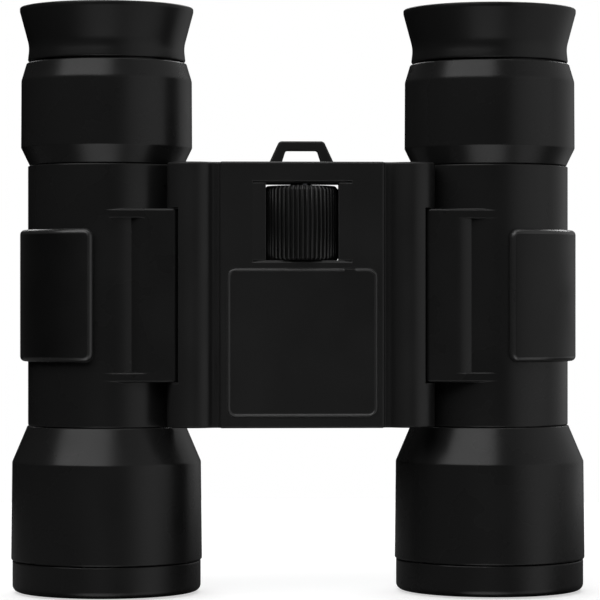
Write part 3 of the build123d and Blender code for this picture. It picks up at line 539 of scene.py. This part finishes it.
def lathe(
    name: str, outline: Sequence[tuple[float, float]], axis: tuple[float, float], segments: int = 160
) -> bpy.types.Mesh:
    """Turns a closed outline about an upright axis.

    Args:
        name: name of the mesh.
        outline: points of radius and height.
        axis: x and y of the axis.
        segments: steps of a full turn.

    Returns:
        The closed mesh.
    """
    work = bmesh.new()
    rings = []
    for k in range(segments):
        a = tau * k / segments
        rings.append([work.verts.new((axis[0] + r * cos(a), axis[1] + r * sin(a), z)) for r, z in outline])
    skin(work, [*rings, rings[0]])
    return mesh_of(name, work)


def loft(name: str, rings: Sequence[Sequence[Vector]]) -> bpy.types.Mesh:
    """Skins closed rings of equal count and zips the two end rings shut across their long middle line.

    Args:
        name: name of the mesh.
        rings: points of each ring, as rounded_rectangle orders them.

    Returns:
        The closed mesh, with the faces of the bands first and in the order of the rings.
    """
    work = bmesh.new()
    corners = [[work.verts.new(p) for p in ring] for ring in rings]
    count = len(corners[0])
    skin(work, corners)
    for ring in (corners[0], corners[-1]):
        for i in range(count // 2 - 1):
            work.faces.new((ring[i], ring[i + 1], ring[count - 2 - i], ring[count - 1 - i]))
    return mesh_of(name, work)


def joined(name: str, *meshes: bpy.types.Mesh) -> bpy.types.Mesh:
    """Joins meshes into one.

    Args:
        name: name of the new mesh.
        meshes: the meshes, which stay as they are.

    Returns:
        The new mesh, with the faces of the first mesh first.
    """
    work = bmesh.new()
    for part in meshes:
        work.from_mesh(part)
    mesh = bpy.data.meshes.new(name)
    work.to_mesh(mesh)
    work.free()
    return mesh


# Geometry Nodes


def new_tree(name: str, inputs: dict[str, str]) -> tuple[bpy.types.NodeTree, bpy.types.Node]:
    """Starts a geometry tree with named inputs.

    Args:
        name: name of the tree.
        inputs: socket type of each input after the geometry, by its name.

    Returns:
        The tree and its input node.
    """
    tree = bpy.data.node_groups.new(name, "GeometryNodeTree")
    tree.interface.new_socket("Geometry", in_out="INPUT", socket_type="NodeSocketGeometry")
    for label, kind in inputs.items():
        tree.interface.new_socket(label, in_out="INPUT", socket_type=kind)
    tree.interface.new_socket("Geometry", in_out="OUTPUT", socket_type="NodeSocketGeometry")
    return tree, add_node(tree, "NodeGroupInput")


def end_tree(
    tree: bpy.types.NodeTree, geometry: bpy.types.NodeSocket, material: bpy.types.NodeSocket
) -> None:
    """Ends a geometry tree with real faces that hold their material.

    Args:
        tree: tree to end.
        geometry: what it has made.
        material: material input of the tree.
    """
    real = add_node(tree, "GeometryNodeRealizeInstances", links={"Geometry": geometry})
    dressed = add_node(
        tree, "GeometryNodeSetMaterial", links={"Geometry": real.outputs["Geometry"], "Material": material}
    )
    add_node(tree, "NodeGroupOutput", links={"Geometry": dressed.outputs["Geometry"]})


def ring_tree() -> bpy.types.NodeTree:
    """Tree that repeats a mesh around an upright axis through the origin.

    Returns:
        The tree, with the count and the material as inputs.
    """
    tree, given = new_tree("Ring of ribs", {"Count": "NodeSocketInt", "Material": "NodeSocketMaterial"})
    points = add_node(
        tree,
        "GeometryNodeMeshCircle",
        {"Radius": 0.0},
        {"Vertices": given.outputs["Count"]},
        fill_type="NONE",
    )
    index = add_node(tree, "GeometryNodeInputIndex")
    step = add_node(tree, "ShaderNodeMath", {0: tau}, {1: given.outputs["Count"]}, operation="DIVIDE")
    angle = add_node(
        tree,
        "ShaderNodeMath",
        links={0: index.outputs["Index"], 1: step.outputs["Value"]},
        operation="MULTIPLY",
    )
    turn = add_node(tree, "ShaderNodeCombineXYZ", links={"Z": angle.outputs["Value"]})
    ribs = add_node(
        tree,
        "GeometryNodeInstanceOnPoints",
        links={
            "Points": points.outputs["Mesh"],
            "Instance": given.outputs["Geometry"],
            "Rotation": turn.outputs["Vector"],
        },
    )
    end_tree(tree, ribs.outputs["Instances"], given.outputs["Material"])
    return tree


def corner_tree() -> bpy.types.NodeTree:
    """Tree that repeats a mesh at the four corners of an upright rectangle about the origin.

    Returns:
        The tree, with the rectangle's width and height and the material as inputs.
    """
    tree, given = new_tree(
        "Four corners",
        {"Width": "NodeSocketFloat", "Height": "NodeSocketFloat", "Material": "NodeSocketMaterial"},
    )
    grid = add_node(
        tree,
        "GeometryNodeMeshGrid",
        {"Vertices X": 2, "Vertices Y": 2},
        {"Size X": given.outputs["Width"], "Size Y": given.outputs["Height"]},
    )
    upright = add_node(
        tree, "GeometryNodeTransform", {"Rotation": (pi / 2, 0.0, 0.0)}, {"Geometry": grid.outputs["Mesh"]}
    )
    copies = add_node(
        tree,
        "GeometryNodeInstanceOnPoints",
        links={"Points": upright.outputs["Geometry"], "Instance": given.outputs["Geometry"]},
    )
    end_tree(tree, copies.outputs["Instances"], given.outputs["Material"])
    return tree


def bead_tree(segments: int = 14) -> bpy.types.NodeTree:
    """Tree that runs a round bead along a line of edges.

    Args:
        segments: sides of the bead's round section.

    Returns:
        The tree, with the bead's radius and the material as inputs.
    """
    tree, given = new_tree("Bead", {"Radius": "NodeSocketFloat", "Material": "NodeSocketMaterial"})
    path = add_node(tree, "GeometryNodeMeshToCurve", links={"Mesh": given.outputs["Geometry"]})
    section = add_node(
        tree,
        "GeometryNodeCurvePrimitiveCircle",
        {"Resolution": segments},
        {"Radius": given.outputs["Radius"]},
    )
    bead = add_node(
        tree,
        "GeometryNodeCurveToMesh",
        {"Fill Caps": True},
        {"Curve": path.outputs["Curve"], "Profile Curve": section.outputs["Curve"]},
    )
    end_tree(tree, bead.outputs["Mesh"], given.outputs["Material"])
    return tree


def grown(
    name: str, seed: bpy.types.Mesh, tree: bpy.types.NodeTree, place: Vector, **inputs: object
) -> bpy.types.Mesh:
    """Runs a geometry tree on a mesh and keeps the plain result.

    Args:
        name: name of the result.
        seed: mesh that the tree starts from, about the origin.
        tree: the tree.
        place: where the result goes, in millimetres.
        inputs: values of the tree's inputs, by name.

    Returns:
        The result as a mesh, at its place.
    """
    holder = bpy.data.objects.new(name, seed)
    bpy.context.scene.collection.objects.link(holder)
    modifier = holder.modifiers.new(tree.name, "NODES")
    modifier.node_group = tree
    for socket in tree.interface.items_tree:
        if socket.in_out == "INPUT" and socket.name in inputs:
            modifier[socket.identifier] = inputs[socket.name]
    made = bpy.data.meshes.new_from_object(holder.evaluated_get(bpy.context.evaluated_depsgraph_get()))
    holder.modifiers.remove(modifier)
    bpy.data.objects.remove(holder)
    made.name = name
    made.transform(Matrix.Translation(place * MM))
    return made


# Pieces


@dataclass
class Dresser:
    """Gives finishes to CAD nodes and puts new pieces in the place of others."""

    made: dict[Look, bpy.types.Material] = field(init=False)

    def __post_init__(self) -> None:
        """Makes the material of each finish once."""
        self.made = {look: look.value.build() for look in Look}

    def dress(self, look: Look, *nodes: str) -> None:
        """Gives CAD nodes a finish in place.

        Args:
            look: the finish.
            nodes: names of the nodes.
        """
        for node in nodes:
            piece = frame["nodes"][node]
            if not piece.material_slots:
                piece.data.materials.append(None)
            for slot in piece.material_slots:
                slot.material = self.made[look]
            log.info("%s: %s", node, self.made[look].name)

    def stand_in(
        self, mesh: bpy.types.Mesh, node: str, look: Look, trim: Look | None = None
    ) -> None:
        """Puts a new piece in the place of a CAD node.

        Args:
            mesh: the piece's mesh.
            node: node that it replaces and whose body it rides on.
            look: its finish.
            trim: finish of the faces with material number 1, if there are any.
        """
        piece = to_object(mesh.name, mesh)
        numbers = [polygon.material_index for polygon in mesh.polygons]
        mesh.materials.clear()
        for shown in filter(None, (look, trim)):
            mesh.materials.append(self.made[shown])
        mesh.polygons.foreach_set("material_index", numbers if trim else [0] * len(numbers))
        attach(piece, BODY_OF[node])
        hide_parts(node)
        log.info("%s: %s, for %s", piece.name, self.made[look].name, node)


@dataclass
class Eyecup:
    """Flared rubber eyecup with a soft waist, where it folds, above its neck.

    The neck sits on the collar of the eyepiece, the floor of the bowl has a hole for the eye lens, and
    below the rim stands a nearly upright brow.
    """

    side: Side
    neck_r: float = 14.7
    neck_swell: float = 0.06
    neck_round: float = 0.35
    collar_r: float = 13.4
    collar_rise: float = 2.05
    seat: float = 0.05
    waist_z: float = 2.7
    waist: float = 0.25
    waist_round: float = 6.0
    brow: float = 0.8
    brow_lean: float = 0.03
    brow_round: float = 0.4
    rim_round: float = 0.6
    lip: float = 1.1
    lip_round: float = 0.4
    floor_z: float = 3.3
    floor_slope: float = 0.1
    bowl_wall: float = 1.2
    bowl_round: float = 1.0
    floor_reach: float = 2.6
    hole_round: float = 0.3

    def outline(self, rim_r: float, base: float, top: float) -> list[tuple[float, float]]:
        """Half section of the cup.

        Args:
            rim_r: radius of the rim.
            base: lowest height.
            top: highest height.

        Returns:
            Points of radius and height.
        """
        floor, ledge = base + self.floor_z, base + self.collar_rise
        seat_r, hole_r = self.collar_r + self.seat, self.collar_r - self.floor_reach
        return rounded(
            [
                (seat_r, base, 0.0),
                (self.neck_r + self.neck_swell, base, self.neck_round),
                (self.neck_r - self.waist, base + self.waist_z, self.waist_round),
                (rim_r - self.brow_lean, top - self.brow, self.brow_round),
                (rim_r, top, self.rim_round),
                (rim_r - self.lip, top, self.lip_round),
                (self.neck_r - self.bowl_wall, floor + self.floor_slope, self.bowl_round),
                (hole_r, floor - self.floor_slope, self.hole_round),
                (hole_r, ledge, 0.0),
                (seat_r, ledge, 0.0),
            ],
            steps=8,
        )

    def build(self, dresser: Dresser) -> None:
        """Turns the cup and puts it in its node's place.

        Args:
            dresser: what gives it its finish.
        """
        node = self.side.node("eyecup")
        span = Span.of(node)
        outline = self.outline(span.half.x, span.low.z, span.high.z)
        mesh = lathe(f"{node}_rubber", outline, (span.centre.x, span.centre.y), segments=192)
        dresser.stand_in(mesh, node, Look.RUBBER)


@dataclass
class GripPad:
    """Rubber pad wrapped round the outer side of a barrel, with a rolled border.

    The insets of the rings on its flat field are shares of the way from the border to the middle.
    """

    side: Side
    thick: float = 1.48
    cad_thick: float = 1.5
    seat: float = 0.02
    arc_degrees: float = 164.0
    corner: float = 1.7
    least_corner: float = 0.15
    border: float = 0.9
    wall: float = 0.6
    roll_steps: int = 6
    middle_half: float = 0.2
    shares: tuple[float, ...] = (0.03, 0.15, 0.4, 0.7, 1.0)

    def levels(self, deepest: float) -> list[tuple[float, float]]:
        """Inset and height of each ring, from under the pad's middle over its border to the top.

        Args:
            deepest: inset of the innermost ring.

        Returns:
            Rows of inset and height.
        """
        insets = [self.border + (deepest - self.border) * share for share in self.shares]
        under = [(inset, self.seat) for inset in (*reversed(insets), self.border / 2, 0.0)]
        rise = self.thick - self.wall
        roll = [radians(90 * k / self.roll_steps) for k in range(self.roll_steps + 1)]
        over = [(self.border * (1 - cos(a)), self.wall + rise * sin(a)) for a in roll]
        return under + over + [(inset, self.thick) for inset in insets]

    def border_numbers(self, levels: Sequence[tuple[float, float]], count: int, faces: int) -> list[int]:
        """Material number of each face: 1 on the rolled border and 0 elsewhere.

        Args:
            levels: inset and height of each ring.
            count: points of a ring.
            faces: faces of the whole pad, those of the bands first.

        Returns:
            The numbers in the order of the faces.
        """
        numbers = []
        for (_, height), (inner, _) in zip(levels, levels[1:]):
            on_border = height >= self.wall and inner <= self.border
            numbers += [int(on_border)] * count
        return numbers + [0] * (faces - len(numbers))

    def wrap(
        self, s: float, z: float, tube_r: float, height: float, axis_x: float, middle_z: float
    ) -> Vector:
        """Bends a flat point of the pad round the barrel.

        Args:
            s: distance along the arc from the pad's middle.
            z: height from the pad's middle.
            tube_r: radius of the barrel.
            height: height above the barrel.
            axis_x: x of the barrel's axis.
            middle_z: height of the pad's middle.

        Returns:
            The bent point.
        """
        a = s / (tube_r + self.thick)
        r = tube_r + height
        return Vector((axis_x + self.side.value * r * cos(a), r * sin(a), middle_z + z))

    def build(self, dresser: Dresser) -> None:
        """Lofts the pad round the barrel and puts it in its node's place.

        Args:
            dresser: what gives it its finishes.
        """
        node = self.side.node("grip_pad")
        span = Span.of(node)
        axis_x = Span.of(self.side.node("objective_bezel")).centre.x
        outer_x = span.high.x if self.side is Side.LEFT else span.low.x
        tube_r = abs(outer_x) - abs(axis_x) - self.cad_thick
        half_z = span.half.z
        half_arc = radians(self.arc_degrees / 2) * (tube_r + self.thick)
        levels = self.levels(half_z - self.middle_half)
        rings = []
        for inset, height in levels:
            corner = max(self.corner - inset, self.least_corner)
            ring = rounded_rectangle(half_arc - inset, half_z - inset, corner, long_steps=24, short_steps=8)
            rings.append([self.wrap(s, z, tube_r, height, axis_x, span.centre.z) for s, z in ring])
        pad = loft(f"{node}_rubber", rings)
        numbers = self.border_numbers(levels, len(rings[0]), len(pad.polygons))
        pad.polygons.foreach_set("material_index", numbers)
        # The border gets the paler finish, a painted highlight along its crest.
        dresser.stand_in(pad, node, Look.GRIP, trim=Look.RIM)


@dataclass
class FocusWheel:
    """Ribbed thumb wheel: a plain core with a ring of rounded ribs, which are rooted in it."""

    ribs: int = 48
    wheel_r: float = 6.98
    core_r: float = 6.45
    bore_r: float = 2.01
    bevel: float = 0.7
    bevel_round: float = 0.2
    foot_bevel: float = 0.4
    foot_round: float = 0.1
    head_gap: float = 0.22
    foot_drop: float = 0.14
    rib_width: float = 0.62
    rib_root: float = 0.3
    crest: float = 0.4
    crest_steps: int = 8

    def rib(self, low: float, high: float) -> bpy.types.Mesh:
        """One rib along Z at angle 0, with a round crest and sloped ends.

        Args:
            low: height of its foot.
            high: height of its head.

        Returns:
            The closed mesh.
        """
        sections = (
            (low, self.foot_bevel),
            (low + self.foot_bevel, 0.0),
            (high - self.bevel, 0.0),
            (high, self.bevel),
        )
        half = self.rib_width / 2
        work = bmesh.new()
        loops = []
        for z, drop in sections:
            root_r = self.core_r - drop - self.rib_root
            shoulder_r = self.wheel_r - drop - self.crest
            outline = [(root_r, -half)]
            for k in range(self.crest_steps + 1):
                a = pi * k / self.crest_steps - pi / 2
                outline.append((shoulder_r + self.crest * cos(a), half * sin(a)))
            outline.append((root_r, half))
            loops.append([work.verts.new((x, y, z)) for x, y in outline])
        skin(work, loops)
        work.faces.new(loops[0])
        work.faces.new(loops[-1])
        return mesh_of("Wheel rib", work)

    def build(self, dresser: Dresser) -> None:
        """Makes the core and its ribs and puts them in the node's place.

        Args:
            dresser: what gives them their finish.
        """
        span = Span.of("focus_wheel")
        low, high, middle = span.low.z - self.foot_drop, span.high.z - self.head_gap, span.centre
        core_outline = rounded(
            [
                (self.bore_r, low, 0.0),
                (self.core_r - self.foot_bevel, low, self.foot_round),
                (self.core_r, low + self.foot_bevel, self.foot_round),
                (self.core_r, high - self.bevel, self.bevel_round),
                (self.core_r - self.bevel, high, self.bevel_round),
                (self.bore_r, high, 0.0),
            ]
        )
        core = lathe("Wheel core", core_outline, (middle.x, middle.y))
        ribs = grown(
            "Wheel ribs",
            self.rib(low - middle.z, high - middle.z),
            ring_tree(),
            middle,
            Count=self.ribs,
            Material=dresser.made[Look.WHEEL],
        )
        wheel = joined("focus_wheel_ribbed", core, ribs)
        dresser.stand_in(wheel, "focus_wheel", Look.WHEEL)


@dataclass
class Inlay:
    """Blank panel in the bridge with a fine raised bead round it, broken near one end of its upper side."""

    corner: float = 1.6
    bevel: float = 0.12
    bead_r: float = 0.25
    bead_sunk: float = 0.03
    bead_steps: int = 10
    gap_x: float = 8.7
    gap_half: float = 1.0
    sunk: float = 0.8

    def build(self, dresser: Dresser) -> None:
        """Makes the plate and its bead and puts them in the node's place.

        Args:
            dresser: what gives them their finishes.
        """
        span = Span.of("inlay_panel")
        half_x, half_z, middle = span.half.x, span.half.z, span.centre
        face_y = span.high.y - self.sunk
        rings = []
        for inset, y in ((0.0, span.high.y), (0.0, face_y + self.bevel), (self.bevel, face_y)):
            outline = rounded_rectangle(half_x - inset, half_z - inset, self.corner - inset)
            rings.append([Vector((middle.x + x, y, middle.z + z)) for x, z in outline])
        plate = loft("Inlay plate", rings)
        # The bead's paler finish is a painted highlight.
        bead = grown(
            "Inlay bead",
            self.bead_path(half_x - self.bead_r, half_z - self.bead_r),
            bead_tree(),
            Vector((middle.x, face_y + self.bead_sunk, middle.z)),
            Radius=self.bead_r * MM,
            Material=dresser.made[Look.BEAD],
        )
        panel = joined("inlay_panel_beaded", plate, bead)
        numbers = [0] * len(plate.polygons) + [1] * len(bead.polygons)
        panel.polygons.foreach_set("material_index", numbers)
        dresser.stand_in(panel, "inlay_panel", Look.INLAY, trim=Look.BEAD)

    def bead_path(self, half_x: float, half_z: float) -> bpy.types.Mesh:
        """Line of edges along the bead, from one end of its gap round to the other.

        Args:
            half_x: half of the path's width.
            half_z: half of its height.

        Returns:
            A mesh of edges about the origin.
        """
        outline = rounded_rectangle(half_x, half_z, self.corner - self.bead_r, arc_steps=self.bead_steps)
        gap_start, gap_end = self.gap_x - self.gap_half, self.gap_x + self.gap_half
        last = max(i for i, (x, z) in enumerate(outline) if z > 0 and x > gap_end)
        path = [(gap_start, half_z), *outline[last + 1 :], *outline[: last + 1], (gap_end, half_z)]
        work = bmesh.new()
        corners = [work.verts.new((x, 0.0, z)) for x, z in path]
        for corner, after in zip(corners, corners[1:]):
            work.edges.new((corner, after))
        return mesh_of("Bead path", work)


@dataclass
class CoverScrews:
    """Four cross-recessed screws in the back of the bridge, each with a slightly domed head."""

    head_r: float = 1.85
    head: float = 1.2
    dome_inset: float = 0.3
    dome_drop: float = 0.06
    rim_drop: float = 0.35
    shank_r: float = 1.0
    tip_inset: float = 0.3
    tip: float = 0.4
    slot_half: float = 1.15
    slot_width: float = 0.22
    slot_depth: float = 0.65
    slot_taper: float = 0.8
    segments: int = 48

    def screw(self, length: float) -> bpy.types.Mesh:
        """One screw along Y about the origin, its head towards +Y.

        Args:
            length: distance from the head's face to the tip.

        Returns:
            The mesh.
        """
        rows = (
            (self.shank_r - self.tip_inset, 0.0),
            (self.shank_r, self.tip),
            (self.shank_r, length - self.head),
            (self.head_r, length - self.head),
            (self.head_r, length - self.rim_drop),
            (self.head_r - self.dome_inset, length - self.dome_drop),
        )
        half, taper = length / 2, self.slot_taper
        work = bmesh.new()
        rings = []
        for r, y in rows:
            rings.append([work.verts.new((r * c, y - half, r * s)) for c, s in self.turns()])
        cross = self.cross()
        rings.append([work.verts.new((x, half, z)) for x, z in cross])
        rings.append([work.verts.new((taper * x, half - self.slot_depth, taper * z)) for x, z in cross])
        skin(work, rings)
        work.faces.new(rings[0])
        work.faces.new(rings[-1])
        return mesh_of("Screw", work)

    def turns(self) -> list[tuple[float, float]]:
        """Cosine and sine of each step of a full turn."""
        angles = [tau * k / self.segments for k in range(self.segments)]
        return [(cos(a), sin(a)) for a in angles]

    def cross(self) -> list[tuple[float, float]]:
        """Outline of the recess, which goes out and in four times.

        Returns:
            One point for each step of a full turn.
        """
        points = []
        for c, s in self.turns():
            across = min(abs(c), abs(s))
            in_arm = across * self.slot_half < self.slot_width
            reach = self.slot_half if in_arm else self.slot_width / across
            points.append((reach * c, reach * s))
        return points

    def build(self, dresser: Dresser) -> None:
        """Repeats the screw and puts the four in their node's place.

        Args:
            dresser: what gives them their finish.
        """
        span = Span.of("cover_screws")
        screws = grown(
            "cover_screws_crossed",
            self.screw(2 * span.half.y),
            corner_tree(),
            span.centre,
            Width=2 * (span.half.x - self.head_r) * MM,
            Height=2 * (span.half.z - self.head_r) * MM,
            Material=dresser.made[Look.STEEL],
        )
        dresser.stand_in(screws, "cover_screws", Look.STEEL)


@dataclass
class Barrel:
    """One barrel: its mouldings, its rubber parts and its optics."""

    side: Side

    def build(self, dresser: Dresser) -> None:
        """Dresses the barrel's nodes and builds its rubber parts.

        Args:
            dresser: what gives them their finishes.
        """
        ring = "eyepiece_sleeve" if self.side is Side.LEFT else "dioptre_ring"
        holders = ("objective_cell", "ocular_tube", "field_stop", "prism_cage")
        retainers = ("lens_retainer", "eye_retainer")
        looks = {
            Look.BARREL: ("objective_bezel", "objective_bell", "barrel_tube", ring),
            Look.GLASS: ("eye_lens", "field_lens", "crown_lens", "flint_lens"),
            Look.PRISM: ("half_penta_prism", "roof_prism"),
            Look.ANODISED: holders + retainers,
            Look.STEEL: ("focus_rod", "hinge_pins", "prism_clip", "focus_arm"),
        }
        for look, names in looks.items():
            dresser.dress(look, *[self.side.node(name) for name in names])
        Eyecup(self.side).build(dresser)
        GripPad(self.side).build(dresser)


@dataclass
class Bridge:
    """The housing between the barrels with its strap loop, inlay, screws and focus drive."""

    def build(self, dresser: Dresser) -> None:
        """Dresses the bridge's nodes and builds its finer parts.

        Args:
            dresser: what gives them their finishes.
        """
        dresser.dress(Look.SHELL, "bridge_front_cover", "bridge_back_cover", "strap_lug")
        dresser.dress(Look.BRASS, "spindle_bushes", "focus_yoke")
        dresser.dress(Look.STEEL, "focus_spindle", "right_key_pin")
        Inlay().build(dresser)
        CoverScrews().build(dresser)
        FocusWheel().build(dresser)


# Studio


def direction(azimuth: float, elevation: float = 0.0) -> Vector:
    """Direction from the binoculars to a place round them.

    Args:
        azimuth: degrees from the side of the camera towards the user's left.
        elevation: degrees above the level.

    Returns:
        A vector of length 1.
    """
    a, e = radians(azimuth), radians(elevation)
    return Vector((sin(a) * cos(e), -cos(a) * cos(e), sin(e)))


@dataclass(frozen=True)
class Softbox:
    """A soft lamp that faces the middle of the binoculars; lengths in metres, angles in degrees."""

    name: str
    azimuth: float
    elevation: float
    distance: float
    width: float
    height: float
    power: float

    def build(self, target: Vector) -> None:
        """Hangs the lamp.

        Args:
            target: point that it faces.
        """
        away = direction(self.azimuth, self.elevation)
        lamp = bpy.data.lights.new(self.name, "AREA")
        lamp.shape = "RECTANGLE"
        lamp.size, lamp.size_y, lamp.energy = self.width, self.height, self.power
        holder = bpy.data.objects.new(self.name, lamp)
        holder.location = target + away * self.distance
        holder.rotation_euler = away.to_track_quat("Z", "Y").to_euler()
        bpy.context.scene.collection.objects.link(holder)


@dataclass(frozen=True)
class GlowPatch:
    """A glowing patch with soft edges on the floor, which only reflections show: it paints highlights on
    the surfaces that mirror it; angles in degrees.
    """

    azimuth: float
    elevation: float
    half_width: float
    strength: float


@dataclass
class Studio:
    """Pale floor, white surroundings, soft lamps and the camera; lengths in metres, angles in degrees."""

    camera_azimuth: float = -2.4
    camera_distance: float = 0.545
    camera_angle: float = 11.82
    aim: tuple[float, float, float] = (0.00026, 0.0, 0.0544)
    white: str = "#ffffff"
    ambient: float = 0.1
    sweep_azimuth: float = 92.0
    sweep: float = 0.47
    sweep_start: float = 0.1
    sweep_full: float = 0.9
    floor_r: float = 0.25
    floor_drop: float = 0.0003
    floor_segments: int = 96
    paper: str = "#c4c4c4"
    paper_dim: str = "#525252"
    paper_glow: float = 0.58
    paper_roughness: float = 0.9
    glow_patches: tuple[GlowPatch, ...] = (
        GlowPatch(azimuth=-9.0, elevation=-40.0, half_width=30.0, strength=1.5),
        GlowPatch(azimuth=56.0, elevation=-26.0, half_width=30.0, strength=0.8),
    )
    lamps: tuple[Softbox, ...] = (
        Softbox("Key softbox", azimuth=-36, elevation=44, distance=0.8, width=0.95, height=0.45, power=3.1),
        Softbox("Top softbox", azimuth=0, elevation=84, distance=0.7, width=0.7, height=0.5, power=1.8),
        Softbox("Right fill", azimuth=56, elevation=8, distance=0.9, width=1.0, height=0.6, power=0.36),
        Softbox("Back fill", azimuth=175, elevation=42, distance=1.0, width=1.2, height=0.6, power=8.0),
    )

    def build(self) -> None:
        """Sets up everything round the binoculars."""
        bpy.context.scene.view_settings.view_transform = "Standard"
        self.build_world()
        self.build_floor()
        for lamp in self.lamps:
            lamp.build(Vector(self.aim))
        self.build_camera()

    def rays(self, tree: bpy.types.NodeTree) -> tuple[bpy.types.NodeSocket, bpy.types.NodeSocket]:
        """Tells the rays of the eye and those of reflections from the rest.

        Args:
            tree: node tree of the world or of a material.

        Returns:
            A socket that is 1 for the eye's rays, also through glass, and one that is 1 for reflections.
        """
        path = add_node(tree, "ShaderNodeLightPath")
        seen = add_node(
            tree,
            "ShaderNodeMath",
            links={0: path.outputs["Is Camera Ray"], 1: path.outputs["Is Transmission Ray"]},
            operation="MAXIMUM",
        )
        return seen.outputs["Value"], path.outputs["Is Glossy Ray"]

    def build_world(self) -> None:
        """White surroundings to the eye and through glass, with a low even light from them on the object.

        In reflections the white sweep stands at the user's left, and the rest of the room is dark.
        """
        world = bpy.data.worlds.new("White sweep")
        bpy.context.scene.world = world
        world.use_nodes = True
        tree = world.node_tree
        tree.nodes.clear()
        seen, reflected = self.rays(tree)
        plain = add_node(
            tree, "ShaderNodeMapRange", {"To Min": self.ambient, "To Max": 1.0}, {"Value": seen}
        )
        towards = add_node(
            tree,
            "ShaderNodeVectorMath",
            {1: direction(self.sweep_azimuth)},
            {0: add_node(tree, "ShaderNodeTexCoord").outputs["Generated"]},
            operation="DOT_PRODUCT",
        )
        side = add_node(
            tree,
            "ShaderNodeMapRange",
            {"From Min": self.sweep_start, "From Max": self.sweep_full, "To Max": self.sweep},
            {"Value": towards.outputs["Value"]},
            interpolation_type="SMOOTHSTEP",
        )
        strength = add_node(
            tree,
            "ShaderNodeMix",
            links={"Factor": reflected, FLOAT_A: plain.outputs["Result"], FLOAT_B: side.outputs["Result"]},
        )
        sky = add_node(
            tree,
            "ShaderNodeBackground",
            {"Color": linear(self.white)},
            {"Strength": strength.outputs[FLOAT_MIXED]},
        )
        add_node(tree, "ShaderNodeOutputWorld", links={"Surface": sky.outputs["Background"]})

    def build_floor(self) -> None:
        """Round pale floor, just below the binoculars."""
        work = bmesh.new()
        bmesh.ops.create_circle(work, cap_ends=True, segments=self.floor_segments, radius=self.floor_r)
        mesh = bpy.data.meshes.new("Floor")
        work.to_mesh(mesh)
        work.free()
        floor = bpy.data.objects.new("Floor", mesh)
        floor.location.z = -self.floor_drop
        bpy.context.scene.collection.objects.link(floor)
        mesh.materials.append(self.floor_paper())

    def floor_paper(self) -> bpy.types.Material:
        """Paper that is white to the eye but for the object's shadow, and glows in patches that only
        reflections show, painted highlights on the binoculars.

        Returns:
            The material.
        """
        material = bpy.data.materials.new("Paper, white")
        material.use_nodes = True
        tree = material.node_tree
        tree.nodes.clear()
        seen, reflected = self.rays(tree)
        glow = add_node(tree, "ShaderNodeMath", {1: self.paper_glow}, {0: seen}, operation="MULTIPLY")
        incoming = add_node(tree, "ShaderNodeNewGeometry").outputs["Incoming"]
        # Each patch is a glow seen only in reflections: painted highlights on the surfaces that face it.
        for glow_patch in self.glow_patches:
            back = -direction(glow_patch.azimuth, glow_patch.elevation)
            near = add_node(tree, "ShaderNodeVectorMath", {1: back}, {0: incoming}, operation="DOT_PRODUCT")
            edge, full = radians(glow_patch.half_width), radians(glow_patch.half_width / 2)
            bright = add_node(
                tree,
                "ShaderNodeMapRange",
                {"From Min": cos(edge), "From Max": cos(full), "To Max": glow_patch.strength},
                {"Value": near.outputs["Value"]},
                interpolation_type="SMOOTHSTEP",
            )
            glow = add_node(
                tree,
                "ShaderNodeMath",
                links={0: bright.outputs["Result"], 1: reflected, 2: glow.outputs["Value"]},
                operation="MULTIPLY_ADD",
            )
        shade = add_node(
            tree,
            "ShaderNodeMix",
            {COLOUR_A: linear(self.paper_dim), COLOUR_B: linear(self.paper)},
            {"Factor": seen},
            data_type="RGBA",
        )
        shader = add_node(
            tree,
            "ShaderNodeBsdfPrincipled",
            {
                "Roughness": self.paper_roughness,
                "Specular IOR Level": 0.0,
                "Emission Color": linear(self.white),
            },
            {"Base Color": shade.outputs[COLOUR_MIXED], "Emission Strength": glow.outputs["Value"]},
        )
        add_node(tree, "ShaderNodeOutputMaterial", links={"Surface": shader.outputs["BSDF"]})
        return material

    def build_camera(self) -> None:
        """Camera level with the middle of the binoculars, a little to the user's right."""
        lens = bpy.data.cameras.new("Camera")
        lens.angle = radians(self.camera_angle)
        away = direction(self.camera_azimuth)
        camera = bpy.data.objects.new("Camera", lens)
        camera.location = Vector(self.aim) + away * self.camera_distance
        camera.rotation_euler = away.to_track_quat("Z", "Y").to_euler()
        bpy.context.scene.collection.objects.link(camera)
        bpy.context.scene.camera = camera


def main() -> None:
    """Builds the binoculars and their studio."""
    logging.basicConfig(level=logging.INFO, format="%(message)s")
    dresser = Dresser()
    for side in Side:
        Barrel(side).build(dresser)
    Bridge().build(dresser)
    Studio().build()


if __name__ == "__main__":
    main()
